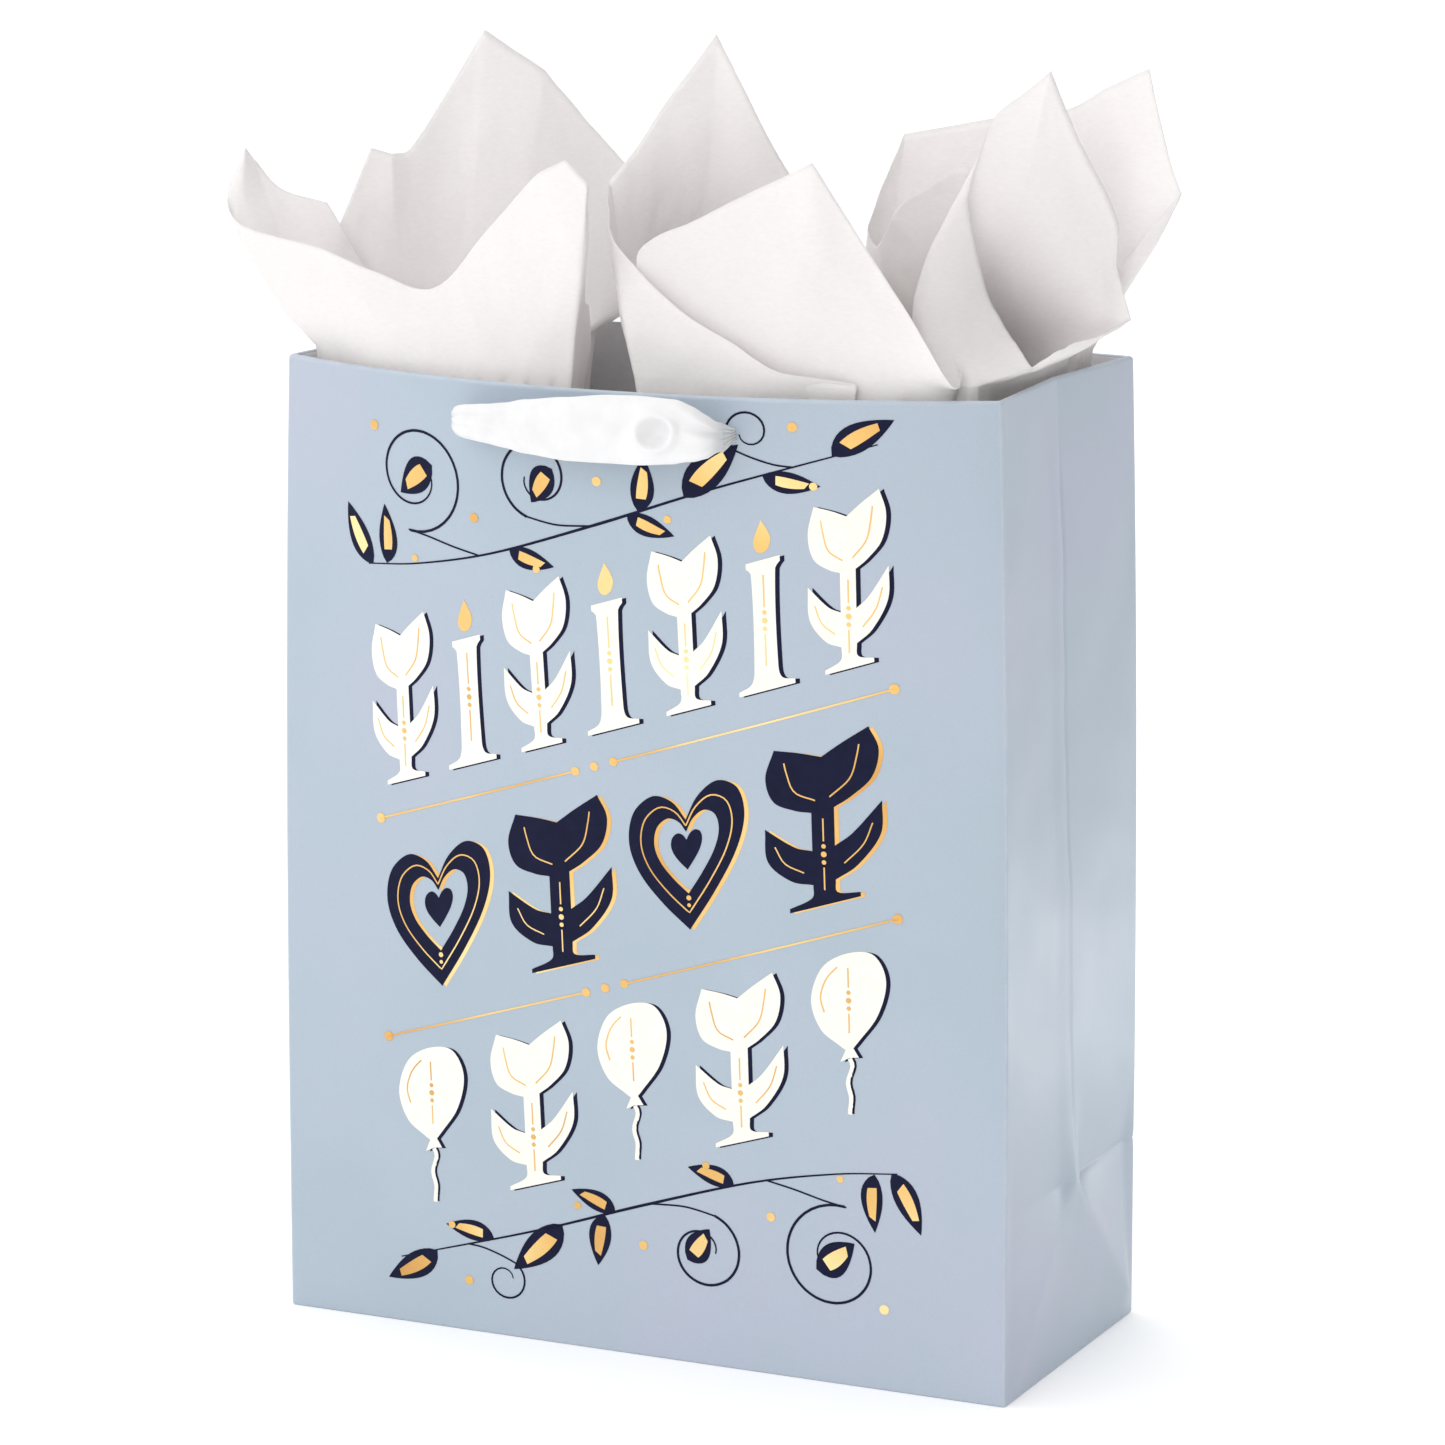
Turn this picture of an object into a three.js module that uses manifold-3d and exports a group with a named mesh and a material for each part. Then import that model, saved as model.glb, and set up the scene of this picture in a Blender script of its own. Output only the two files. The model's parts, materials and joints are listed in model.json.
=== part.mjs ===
// A filled gift bag: one folded sheet of paper with its panels, flaps and hems,
// two top cards, a base board, two satin ribbon handles with their knots, and
// five sheets of tissue paper. Millimetres, +Z up, front towards -Y, origin at
// the middle of the bottom.
import * as THREE from 'three';
import { mergeVertices } from 'three/addons/utils/BufferGeometryUtils.js';
import { ConvexGeometry } from 'three/addons/geometries/ConvexGeometry.js';
import Module from 'manifold-3d';

const wasm = await Module();
wasm.setup();

// Bag, outside sizes.
const BAG_WIDTH = 265;
const BAG_DEPTH = 115;
const BAG_HEIGHT = 330;

// Sheet thicknesses, and the gap between pieces that lie against each other.
const PAPER = 0.5;
const TOP_CARD = 0.8;
const BASE_BOARD = 1.2;
const LAYER_GAP = 0.3;

// How far the filled bag's walls stand out or in at the mouth.
const FRONT_BOW = 32;
const BACK_BOW = 7;
const BOW_POWER = 1.3;
const CORNER_PULL = 4.4;
const GUSSET_TUCK = 4.6;
const GUSSET_CREASE_HEIGHT = 62;

// Turned-in top edge and its stiffening card.
const HEM_DEPTH = 42;
const CARD_DEPTH = 38;
const CARD_EDGE_SETBACK = 1;

// Flaps that close the bottom, and the glued side flap.
const LONG_FLAP = 72;
const FLAP_CORNER_CUT = 10;
const SIDE_TUCK = 48;
const SIDE_TUCK_TIP = 16;
const GLUE_FLAP = 18;
const GLUE_FLAP_BOTTOM = 6;
const BOARD_CLEARANCE = 1.5;

// Ribbon handles.
const HANDLE_SPACING = 97;
const HOLE_DROP = 12;
const HOLE_RADIUS = 2.5;
const RIBBON_WIDTH = 22;
const RIBBON_PINCH_WIDTH = 5;
const RIBBON_THICKNESS = 1.2;
const RIBBON_REACH = 16;
const RIBBON_ROUNDNESS = 3;
const RIBBON_FLAT_HALF = 26;
const RIBBON_PINCH_FROM = 38;
const RIBBON_END_RADIUS = 2;
const RIBBON_END_LENGTH = 4;
const SWING_STAND_OFF = 2;
const NECK_RADIUS = 2.1;
const KNOT_RADIUS = 3.6;
const KNOT_CLEARANCE = 1.2;

// Tissue sheets.
const TISSUE_BOTTOM = 105;
const TISSUE_WALL_GAP = 4;
const TISSUE_KNOT_GAP = 2.1;
const TISSUE_LAP = 3;
const TISSUE_PARTING = 16;
const TISSUE_SHEET_GAP = 5;
const TISSUE_NECK_SHARE = 0.35;

const SIDE_STEPS = 24;
const HEIGHT_STEPS = 12;
const ROUND_STEPS = 20;
const FRONT = -1;
const BACK = 1;
const LEFT = -1;
const RIGHT = 1;

// Depths of the layers at the mouth, counted inwards from the outside face.
const cardOffset = PAPER + LAYER_GAP;
const wallHemOffset = cardOffset + TOP_CARD + LAYER_GAP;
const gussetHemOffset = PAPER + LAYER_GAP;
const wallLayers = wallHemOffset + PAPER;
const gussetLayers = gussetHemOffset + PAPER;
const holeHeight = BAG_HEIGHT - HOLE_DROP;
const knotRoom = KNOT_CLEARANCE + 2 * KNOT_RADIUS + TISSUE_KNOT_GAP;
const pinchReach = Math.hypot(RIBBON_PINCH_WIDTH, RIBBON_THICKNESS) / 2;

const paperOutside = new THREE.MeshStandardMaterial({
  color: '#c2cdda', roughness: 0.5, metalness: 0,
});
const paperInside = new THREE.MeshStandardMaterial({
  color: '#c9c5ca', roughness: 0.75, metalness: 0,
});
const greyboard = new THREE.MeshStandardMaterial({
  color: '#a9a59c', roughness: 0.9, metalness: 0,
});
const satin = new THREE.MeshStandardMaterial({
  color: '#f8f7f6', roughness: 0.35, metalness: 0,
});
const tissue = new THREE.MeshStandardMaterial({
  color: '#f1eeee', roughness: 0.8, metalness: 0,
});

const bag = new THREE.Group();

function addPiece(name, geometry, material) {
  const mesh = new THREE.Mesh(geometry, material.clone());
  mesh.name = name;
  bag.add(mesh);
}

// ---- Solids ----

function welded(geometry) {
  const plain = geometry.clone();
  plain.deleteAttribute('normal');
  plain.deleteAttribute('uv');
  return mergeVertices(plain, 1e-4);
}

function toSolid(geometry) {
  const merged = welded(geometry);
  const vertProperties = new Float32Array(merged.attributes.position.array);
  const triVerts = new Uint32Array(merged.index.array);
  return new wasm.Manifold(new wasm.Mesh({ numProp: 3, vertProperties, triVerts }));
}

function fromSolid(solid) {
  const mesh = solid.getMesh();
  const geometry = new THREE.BufferGeometry();
  geometry.setAttribute('position', new THREE.BufferAttribute(mesh.vertProperties, 3));
  geometry.setIndex(new THREE.BufferAttribute(mesh.triVerts, 1));
  return geometry;
}

function bend(geometry, move) {
  const position = geometry.attributes.position;
  const point = new THREE.Vector3();
  for (let i = 0; i < position.count; i += 1) {
    point.fromBufferAttribute(position, i);
    move(point);
    position.setXYZ(i, point.x, point.y, point.z);
  }
  return geometry;
}

// ---- Walls of the bag ----

function mouthShare(z) {
  return Math.pow(Math.max(z, 0) / BAG_HEIGHT, BOW_POWER);
}

function cornerPull(z) {
  return CORNER_PULL * mouthShare(z) ** 2;
}

function wallBow(side, x, z) {
  const across = x / (BAG_WIDTH / 2);
  const bow = side === FRONT ? FRONT_BOW : BACK_BOW;
  return bow * mouthShare(z) * (1 - across * across);
}

function wallFace(side, x, z) {
  return BAG_DEPTH / 2 + wallBow(side, x, z);
}

function gussetTuck(y, z) {
  const inward = 1 - Math.abs(y) / (BAG_DEPTH / 2);
  const rise = (z - GUSSET_CREASE_HEIGHT) / (BAG_HEIGHT - GUSSET_CREASE_HEIGHT);
  return GUSSET_TUCK * Math.max(inward, 0) * Math.max(rise, 0);
}

function wallSheet({ side, halfWidth, bottom, top, offset, thickness, heightSteps }) {
  const height = top - bottom;
  const sheet = new THREE.BoxGeometry(2 * halfWidth, thickness, height, SIDE_STEPS, 1, heightSteps);
  sheet.translate(0, 0, bottom + height / 2);
  return bend(sheet, (point) => {
    const centre = wallFace(side, point.x, point.z) - offset - thickness / 2;
    point.y += side * centre;
    point.x *= 1 - cornerPull(point.z) / (BAG_WIDTH / 2);
  });
}

function gussetSheet({ side, from, to, bottom, top, offset, thickness, heightSteps }) {
  const height = top - bottom;
  const sheet = new THREE.BoxGeometry(thickness, to - from, height, 1, 4, heightSteps);
  sheet.translate(0, (from + to) / 2, bottom + height / 2);
  return bend(sheet, (point) => {
    const inward = cornerPull(point.z) + gussetTuck(point.y, point.z);
    point.x += side * (BAG_WIDTH / 2 - inward - offset - thickness / 2);
  });
}

function holeCutter(side, x) {
  const cutter = new THREE.CylinderGeometry(HOLE_RADIUS, HOLE_RADIUS, BAG_DEPTH / 2, ROUND_STEPS);
  cutter.translate(x, side * wallFace(side, x, holeHeight), holeHeight);
  return toSolid(cutter);
}

function withHandleHoles(side, sheet) {
  let solid = toSolid(sheet);
  for (const end of [LEFT, RIGHT]) {
    solid = solid.subtract(holeCutter(side, end * HANDLE_SPACING / 2));
  }
  return fromSolid(solid);
}

function addWall(side, name) {
  const panel = wallSheet({
    side, halfWidth: BAG_WIDTH / 2, bottom: 0, top: BAG_HEIGHT,
    offset: 0, thickness: PAPER, heightSteps: HEIGHT_STEPS,
  });
  addPiece(`${name}_panel`, withHandleHoles(side, panel), paperOutside);
  const card = wallSheet({
    side, halfWidth: BAG_WIDTH / 2 - gussetHemOffset,
    bottom: BAG_HEIGHT - CARD_EDGE_SETBACK - CARD_DEPTH, top: BAG_HEIGHT - CARD_EDGE_SETBACK,
    offset: cardOffset, thickness: TOP_CARD, heightSteps: 2,
  });
  addPiece(`${name}_top_card`, withHandleHoles(side, card), greyboard);
  const hem = wallSheet({
    side, halfWidth: BAG_WIDTH / 2 - gussetHemOffset,
    bottom: BAG_HEIGHT - HEM_DEPTH, top: BAG_HEIGHT,
    offset: wallHemOffset, thickness: PAPER, heightSteps: 2,
  });
  addPiece(`${name}_turned_hem`, withHandleHoles(side, hem), paperOutside);
}

function addGusset(side, name) {
  const edge = BAG_DEPTH / 2 - PAPER - LAYER_GAP;
  const halves = [['front_half', -edge, -LAYER_GAP / 2], ['back_half', LAYER_GAP / 2, edge]];
  for (const [half, from, to] of halves) {
    const sheet = gussetSheet({
      side, from, to, bottom: 0, top: BAG_HEIGHT,
      offset: 0, thickness: PAPER, heightSteps: HEIGHT_STEPS,
    });
    addPiece(`${name}_gusset_${half}`, sheet, paperOutside);
  }
  const hemEdge = BAG_DEPTH / 2 - wallLayers - LAYER_GAP;
  const hem = gussetSheet({
    side, from: -hemEdge, to: hemEdge, bottom: BAG_HEIGHT - HEM_DEPTH, top: BAG_HEIGHT,
    offset: gussetHemOffset, thickness: PAPER, heightSteps: 2,
  });
  addPiece(`${name}_turned_hem`, hem, paperOutside);
}

function addGlueFlap() {
  const to = BAG_DEPTH / 2 - PAPER - LAYER_GAP;
  const flap = gussetSheet({
    side: LEFT, from: to - GLUE_FLAP, to,
    bottom: GLUE_FLAP_BOTTOM, top: BAG_HEIGHT - HEM_DEPTH - LAYER_GAP,
    offset: gussetHemOffset, thickness: PAPER, heightSteps: HEIGHT_STEPS,
  });
  addPiece('side_glue_flap', flap, paperOutside);
}

// ---- Bottom ----

function flatSheet(points, thickness, bottom) {
  const outline = new THREE.Shape(points.map(([x, y]) => new THREE.Vector2(x, y)));
  const sheet = new THREE.ExtrudeGeometry(outline, { depth: thickness, bevelEnabled: false });
  sheet.translate(0, 0, bottom);
  return sheet;
}

function longFlap(side, bottom) {
  const halfWidth = BAG_WIDTH / 2 - PAPER - LAYER_GAP;
  const fold = side * (BAG_DEPTH / 2 - PAPER - LAYER_GAP);
  const edge = fold - side * LONG_FLAP;
  const shoulder = edge + side * FLAP_CORNER_CUT;
  const points = [
    [-halfWidth, fold], [halfWidth, fold], [halfWidth, shoulder],
    [halfWidth - FLAP_CORNER_CUT, edge], [-halfWidth + FLAP_CORNER_CUT, edge], [-halfWidth, shoulder],
  ];
  return flatSheet(side === FRONT ? points : points.reverse(), PAPER, bottom);
}

function sideTuck(side, bottom) {
  const fold = side * (BAG_WIDTH / 2 - PAPER - LAYER_GAP);
  const tip = fold - side * SIDE_TUCK;
  const halfFold = BAG_DEPTH / 2 - PAPER - LAYER_GAP;
  const points = [
    [fold, -halfFold], [fold, halfFold], [tip, SIDE_TUCK_TIP / 2], [tip, -SIDE_TUCK_TIP / 2],
  ];
  return flatSheet(side === RIGHT ? points : points.reverse(), PAPER, bottom);
}

function addBottom() {
  const layer = PAPER + LAYER_GAP;
  addPiece('bottom_front_flap', longFlap(FRONT, 0), paperOutside);
  addPiece('bottom_back_flap', longFlap(BACK, layer), paperOutside);
  addPiece('bottom_left_tuck', sideTuck(LEFT, 2 * layer), paperOutside);
  addPiece('bottom_right_tuck', sideTuck(RIGHT, 2 * layer), paperOutside);
  const halfWidth = BAG_WIDTH / 2 - gussetLayers - BOARD_CLEARANCE;
  const halfDepth = BAG_DEPTH / 2 - PAPER - BOARD_CLEARANCE;
  const corners = [
    [-halfWidth, -halfDepth], [halfWidth, -halfDepth], [halfWidth, halfDepth], [-halfWidth, halfDepth],
  ];
  addPiece('base_board', flatSheet(corners, BASE_BOARD, 3 * layer), greyboard);
}

// ---- Ribbon handles ----

// The line that a handle swings about, just outside the most bowed part of the rim.
function swingLine(side) {
  return wallFace(side, 0, BAG_HEIGHT) + SWING_STAND_OFF;
}

function ribbonPath(share) {
  const angle = Math.PI * share;
  const power = 2 / RIBBON_ROUNDNESS;
  const cosine = Math.cos(angle);
  const across = -Math.sign(cosine) * Math.abs(cosine) ** power * HANDLE_SPACING / 2;
  const out = Math.abs(Math.sin(angle)) ** power * RIBBON_REACH;
  return new THREE.Vector2(across, out);
}

function ribbonWidth(across) {
  const pinch = THREE.MathUtils.smoothstep(Math.abs(across), RIBBON_FLAT_HALF, RIBBON_PINCH_FROM);
  return THREE.MathUtils.lerp(RIBBON_WIDTH, RIBBON_PINCH_WIDTH, pinch);
}

function ribbonBand(side) {
  const steps = 2 * SIDE_STEPS;
  const nudge = 0.25 / steps;
  const band = new THREE.BoxGeometry(1, RIBBON_THICKNESS, 1, steps, 1, 2);
  return bend(band, (point) => {
    const share = point.x + 0.5;
    const here = ribbonPath(share);
    const before = ribbonPath(Math.max(share - nudge, 0));
    const after = ribbonPath(Math.min(share + nudge, 1));
    const along = after.sub(before).normalize();
    const inward = new THREE.Vector2(along.y, -along.x).multiplyScalar(point.y);
    point.z = holeHeight + point.z * ribbonWidth(here.x);
    point.x = -side * (here.x + inward.x);
    point.y = side * (swingLine(side) + here.y + inward.y);
  });
}

function ribbonEnd(side, x) {
  const end = new THREE.CylinderGeometry(
    RIBBON_END_RADIUS, RIBBON_END_RADIUS, RIBBON_END_LENGTH, ROUND_STEPS,
  );
  end.rotateZ(Math.PI / 2);
  end.translate(x, side * swingLine(side), holeHeight);
  return toSolid(end);
}

function addHandle(side, name) {
  let handle = toSolid(ribbonBand(side));
  for (const end of [LEFT, RIGHT]) {
    handle = handle.add(ribbonEnd(side, end * HANDLE_SPACING / 2));
  }
  addPiece(`${name}_ribbon_handle`, fromSolid(handle), satin);
}

function knot(side, x) {
  const knotCentre = wallFace(side, x, holeHeight) - wallLayers - KNOT_CLEARANCE - KNOT_RADIUS;
  const neckEnd = swingLine(side) - Math.max(RIBBON_END_RADIUS, pinchReach) - LAYER_GAP;
  const ball = new THREE.SphereGeometry(KNOT_RADIUS, ROUND_STEPS, ROUND_STEPS / 2);
  ball.translate(x, side * knotCentre, holeHeight);
  const length = neckEnd - knotCentre;
  const neck = new THREE.CylinderGeometry(NECK_RADIUS, NECK_RADIUS, length, ROUND_STEPS);
  neck.translate(x, side * (knotCentre + length / 2), holeHeight);
  return fromSolid(toSolid(ball).add(toSolid(neck)));
}

function addKnots(side, name) {
  addPiece(`${name}_left_ribbon_knot`, knot(side, -HANDLE_SPACING / 2), satin);
  addPiece(`${name}_right_ribbon_knot`, knot(side, HANDLE_SPACING / 2), satin);
}

// ---- Tissue ----

// A place over the mouth: across is -1 at the left gusset and 1 at the right one,
// and back is -1 at the front panel and 1 at the back panel. Both may pass the rim.
function mouthPlace(across, back) {
  const inset = CORNER_PULL + GUSSET_TUCK + gussetLayers + TISSUE_WALL_GAP;
  const x = across * (BAG_WIDTH / 2 - inset);
  const onRim = THREE.MathUtils.clamp(x, -BAG_WIDTH / 2, BAG_WIDTH / 2);
  const inside = wallLayers + knotRoom;
  const front = inside - wallFace(FRONT, onRim, BAG_HEIGHT);
  const rear = wallFace(BACK, onRim, BAG_HEIGHT) - inside;
  return new THREE.Vector2(x, THREE.MathUtils.lerp(front, rear, (back + 1) / 2));
}

function atHeight(places, z) {
  return places.map((place) => new THREE.Vector3(place.x, place.y, z));
}

function tissueSolid({ mouth, crown }) {
  const middle = new THREE.Vector2();
  mouth.forEach((place) => middle.addScaledVector(place, 1 / mouth.length));
  const neck = mouth.map((place) => place.clone().lerp(middle, 1 - TISSUE_NECK_SHARE));
  const funnel = new ConvexGeometry([
    ...atHeight(neck, TISSUE_BOTTOM), ...atHeight(mouth, BAG_HEIGHT + TISSUE_LAP),
  ]);
  const points = crown.map(([across, back, rise]) => {
    const place = mouthPlace(across, back);
    return new THREE.Vector3(place.x, place.y, BAG_HEIGHT + rise);
  });
  const top = new ConvexGeometry([...atHeight(mouth, BAG_HEIGHT + 1), ...points]);
  return fromSolid(toSolid(funnel).add(toSolid(top)));
}

// The centre sheet's two side edges over the mouth, each from front to back. The other
// sheets keep clear of them, whatever the bag's size.
const CENTRE_LEFT_EDGE = [[0.04, -1], [-0.45, 1]];
const CENTRE_RIGHT_EDGE = [[0.96, -0.86], [0.16, 1]];

function besideCentre(edge, share, gap) {
  const [front, back] = edge.map(([across, depth]) => mouthPlace(across, depth));
  const place = front.lerp(back, share);
  place.x += gap;
  return place;
}

function leftOfCentre(share) {
  return besideCentre(CENTRE_LEFT_EDGE, share, -TISSUE_PARTING);
}

function rightOfCentre(share) {
  return besideCentre(CENTRE_RIGHT_EDGE, share, TISSUE_SHEET_GAP);
}

// Each sheet: its outline where it passes the rim, then its corners and folds above
// the rim as across, back and rise.
const TISSUE_SHEETS = {
  left_rear_tissue: {
    mouth: [mouthPlace(-1, 0.05), leftOfCentre(0.53), leftOfCentre(1), mouthPlace(-1, 1)],
    crown: [[-0.78, 0.4, 104], [-0.98, 0.15, 62], [-0.58, 0.5, 60]],
  },
  left_front_tissue: {
    mouth: [
      mouthPlace(-1, -1), mouthPlace(-0.75, -1), mouthPlace(-0.45, -1),
      leftOfCentre(0), leftOfCentre(0.47), mouthPlace(-1, -0.05),
    ],
    crown: [[-0.27, -0.6, 69], [-1.25, -0.9, 55], [-1.2, -0.2, 64], [-0.55, -0.98, 27]],
  },
  centre_tissue: {
    mouth: [
      mouthPlace(...CENTRE_LEFT_EDGE[0]), mouthPlace(0.45, -1), mouthPlace(0.84, -1),
      mouthPlace(...CENTRE_RIGHT_EDGE[0]), mouthPlace(...CENTRE_RIGHT_EDGE[1]),
      mouthPlace(...CENTRE_LEFT_EDGE[1]),
    ],
    crown: [[0.1, -0.1, 108], [0, -0.6, 50], [0.5, -0.75, 72], [0.66, -0.8, 52]],
  },
  right_front_tissue: {
    mouth: [rightOfCentre(0.02), mouthPlace(1, -0.6), mouthPlace(1, 0.5), rightOfCentre(0.75)],
    crown: [[1.02, 0.1, 100], [1.2, 0.35, 50], [0.8, 0.1, 64], [1.16, 0.45, 18]],
  },
  right_rear_tissue: {
    mouth: [rightOfCentre(0.82), mouthPlace(1, 0.62), mouthPlace(1, 1), rightOfCentre(1)],
    crown: [[0.46, 0.9, 72], [0.8, 0.9, 82], [1.17, 0.9, 97], [1.26, 0.9, 58]],
  },
};

addWall(FRONT, 'front');
addWall(BACK, 'back');
addGusset(LEFT, 'left');
addGusset(RIGHT, 'right');
addGlueFlap();
addBottom();
addHandle(FRONT, 'front');
addHandle(BACK, 'back');
addKnots(FRONT, 'front');
addKnots(BACK, 'back');
for (const [name, shape] of Object.entries(TISSUE_SHEETS)) {
  addPiece(name, tissueSolid(shape), tissue);
}

export default bag;
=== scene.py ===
import json
import math

import bmesh
import bpy
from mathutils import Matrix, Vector, geometry, noise


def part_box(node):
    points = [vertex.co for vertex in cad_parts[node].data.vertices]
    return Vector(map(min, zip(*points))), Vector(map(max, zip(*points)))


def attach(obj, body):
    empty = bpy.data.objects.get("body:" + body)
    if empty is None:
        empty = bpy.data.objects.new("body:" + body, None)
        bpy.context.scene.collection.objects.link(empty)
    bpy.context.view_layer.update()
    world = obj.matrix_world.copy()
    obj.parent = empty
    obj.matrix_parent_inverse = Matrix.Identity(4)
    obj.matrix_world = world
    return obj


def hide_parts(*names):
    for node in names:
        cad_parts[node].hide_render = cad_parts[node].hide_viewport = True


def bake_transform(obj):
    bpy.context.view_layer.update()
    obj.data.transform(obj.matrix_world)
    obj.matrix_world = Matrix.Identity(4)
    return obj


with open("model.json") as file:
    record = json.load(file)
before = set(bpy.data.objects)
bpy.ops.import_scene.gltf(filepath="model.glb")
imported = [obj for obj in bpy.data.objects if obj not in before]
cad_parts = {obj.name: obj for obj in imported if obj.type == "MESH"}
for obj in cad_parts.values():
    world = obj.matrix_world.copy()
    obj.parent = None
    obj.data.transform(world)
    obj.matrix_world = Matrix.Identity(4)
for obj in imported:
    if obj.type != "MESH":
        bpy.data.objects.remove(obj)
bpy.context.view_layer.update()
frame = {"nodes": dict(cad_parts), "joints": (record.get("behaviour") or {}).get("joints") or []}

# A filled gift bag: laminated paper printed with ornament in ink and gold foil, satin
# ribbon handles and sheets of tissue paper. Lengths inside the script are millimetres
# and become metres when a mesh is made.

MM = 0.001

# ---- The bag's own sizes, from the frame ----

LOW, HIGH = 0, 1


def edge(node, corner, axis):
    """One side of a node's box, in millimetres."""
    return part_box(node)[corner][axis] / MM


HALF_WIDTH = edge("front_panel", HIGH, 0)
HEIGHT = edge("front_panel", HIGH, 2)
LAYER = 0.8  # paper and the gap to the next layer
HALF_DEPTH = LAYER - edge("bottom_front_flap", LOW, 1)
FRONT_BOW = -edge("front_panel", LOW, 1) - HALF_DEPTH
BACK_BOW = edge("back_panel", HIGH, 1) - HALF_DEPTH
BOW_POWER = 1.3
CORNER_PULL = 4.4
GUSSET_TUCK = 4.6
GUSSET_CREASE = 62
HEM_DEPTH = HEIGHT - edge("front_turned_hem", LOW, 2)
WALL_LAYERS = 2.4
PAPER = 0.32
FOLD_ROUND = 1.1  # how far from a corner its rounding starts
FINE_ROW = 2.2  # between the mesh's rows at the foot, and half as fine above it
FOOT_RIDGE, FOOT_VALLEY = 2.6, 2.1  # the gusset's foot stands out and in by so much
FOOT_FADE = 38  # the height over which the valley above the foot dies away
PRESSED_DEPTH = 0.5  # the line pressed across at the foot crease
FRONT, BACK = -1, 1
LEFT, RIGHT = -1, 1

JOINTS = {joint["name"]: joint for joint in frame["joints"]}


def smooth(low, high, value):
    share = min(max((value - low) / (high - low), 0.0), 1.0)
    return share * share * (3 - 2 * share)


def mix(a, b, share):
    return a + (b - a) * share


# ---- Camera, light and floor ----

CAMERA_PLACE = (0.801, -1.703, 0.592)
CAMERA_TURN = 25.07
CAMERA_DROP = 11.61
CAMERA_LENS = 142.3
WORLD_LEFT, WORLD_RIGHT = 1.34, 0.35  # how strongly the surround shines


def add_camera():
    data = bpy.data.cameras.new("camera")
    data.lens = CAMERA_LENS
    data.sensor_width = 36
    camera = bpy.data.objects.new("camera", data)
    camera.location = CAMERA_PLACE
    camera.rotation_euler = (math.radians(90 - CAMERA_DROP), 0, math.radians(CAMERA_TURN))
    bpy.context.scene.collection.objects.link(camera)
    bpy.context.scene.camera = camera


def add_area_light(name, place, aim, size, power, colour):
    data = bpy.data.lights.new(name, "AREA")
    data.shape = "RECTANGLE"
    data.size, data.size_y = size
    data.energy = power
    data.color = colour
    light = bpy.data.objects.new(name, data)
    light.location = place
    light.rotation_euler = (Vector(aim) - Vector(place)).to_track_quat("-Z", "Y").to_euler()
    bpy.context.scene.collection.objects.link(light)


def soft_world():
    """An even white surround that is dimmer on the right."""
    world = bpy.data.worlds.new("studio")
    world.use_nodes = True
    tree = world.node_tree
    background = tree.nodes["Background"]
    direction = tree.nodes.new("ShaderNodeTexCoord")
    split = tree.nodes.new("ShaderNodeSeparateXYZ")
    ramp = tree.nodes.new("ShaderNodeMapRange")
    ramp.inputs["From Min"].default_value = -0.4
    ramp.inputs["From Max"].default_value = 1.0
    ramp.inputs["To Min"].default_value = WORLD_LEFT
    ramp.inputs["To Max"].default_value = WORLD_RIGHT
    tree.links.new(direction.outputs["Generated"], split.inputs["Vector"])
    tree.links.new(split.outputs["X"], ramp.inputs["Value"])
    tree.links.new(ramp.outputs["Result"], background.inputs["Strength"])
    background.inputs["Color"].default_value = (1, 1, 1, 1)
    return world


def add_studio():
    bpy.context.scene.world = soft_world()
    aim = (0, 0, 0.25)
    add_area_light("key", (0.15, -2.4, 1.35), aim, (1.3, 1.3), 13, (1, 0.99, 0.97))
    add_area_light("low_fill", (0.42, 0.30, 0.03), (0.13, 0, 0.03), (0.4, 0.05), 0.27, (0.97, 0.96, 1))
    add_area_light("top", (0.0, 0.3, 2.2), aim, (1.4, 1.4), 4, (1, 1, 1))
    bpy.context.scene.view_settings.view_transform = "Standard"


def add_floor():
    bpy.ops.mesh.primitive_plane_add(size=30)
    floor = bpy.context.object
    floor.name = "floor"
    material = bpy.data.materials.new("pale_floor")
    material.use_nodes = True
    shader = material.node_tree.nodes["Principled BSDF"]
    shader.inputs["Base Color"].default_value = (0.975, 0.975, 0.975, 1)
    shader.inputs["Roughness"].default_value = 0.9
    shader.inputs["Specular IOR Level"].default_value = 0.1
    shader.inputs["Emission Color"].default_value = (1, 1, 1, 1)
    shader.inputs["Emission Strength"].default_value = 0.14
    floor.data.materials.append(material)


add_camera()
add_studio()
add_floor()


# ---- Materials ----

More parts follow.
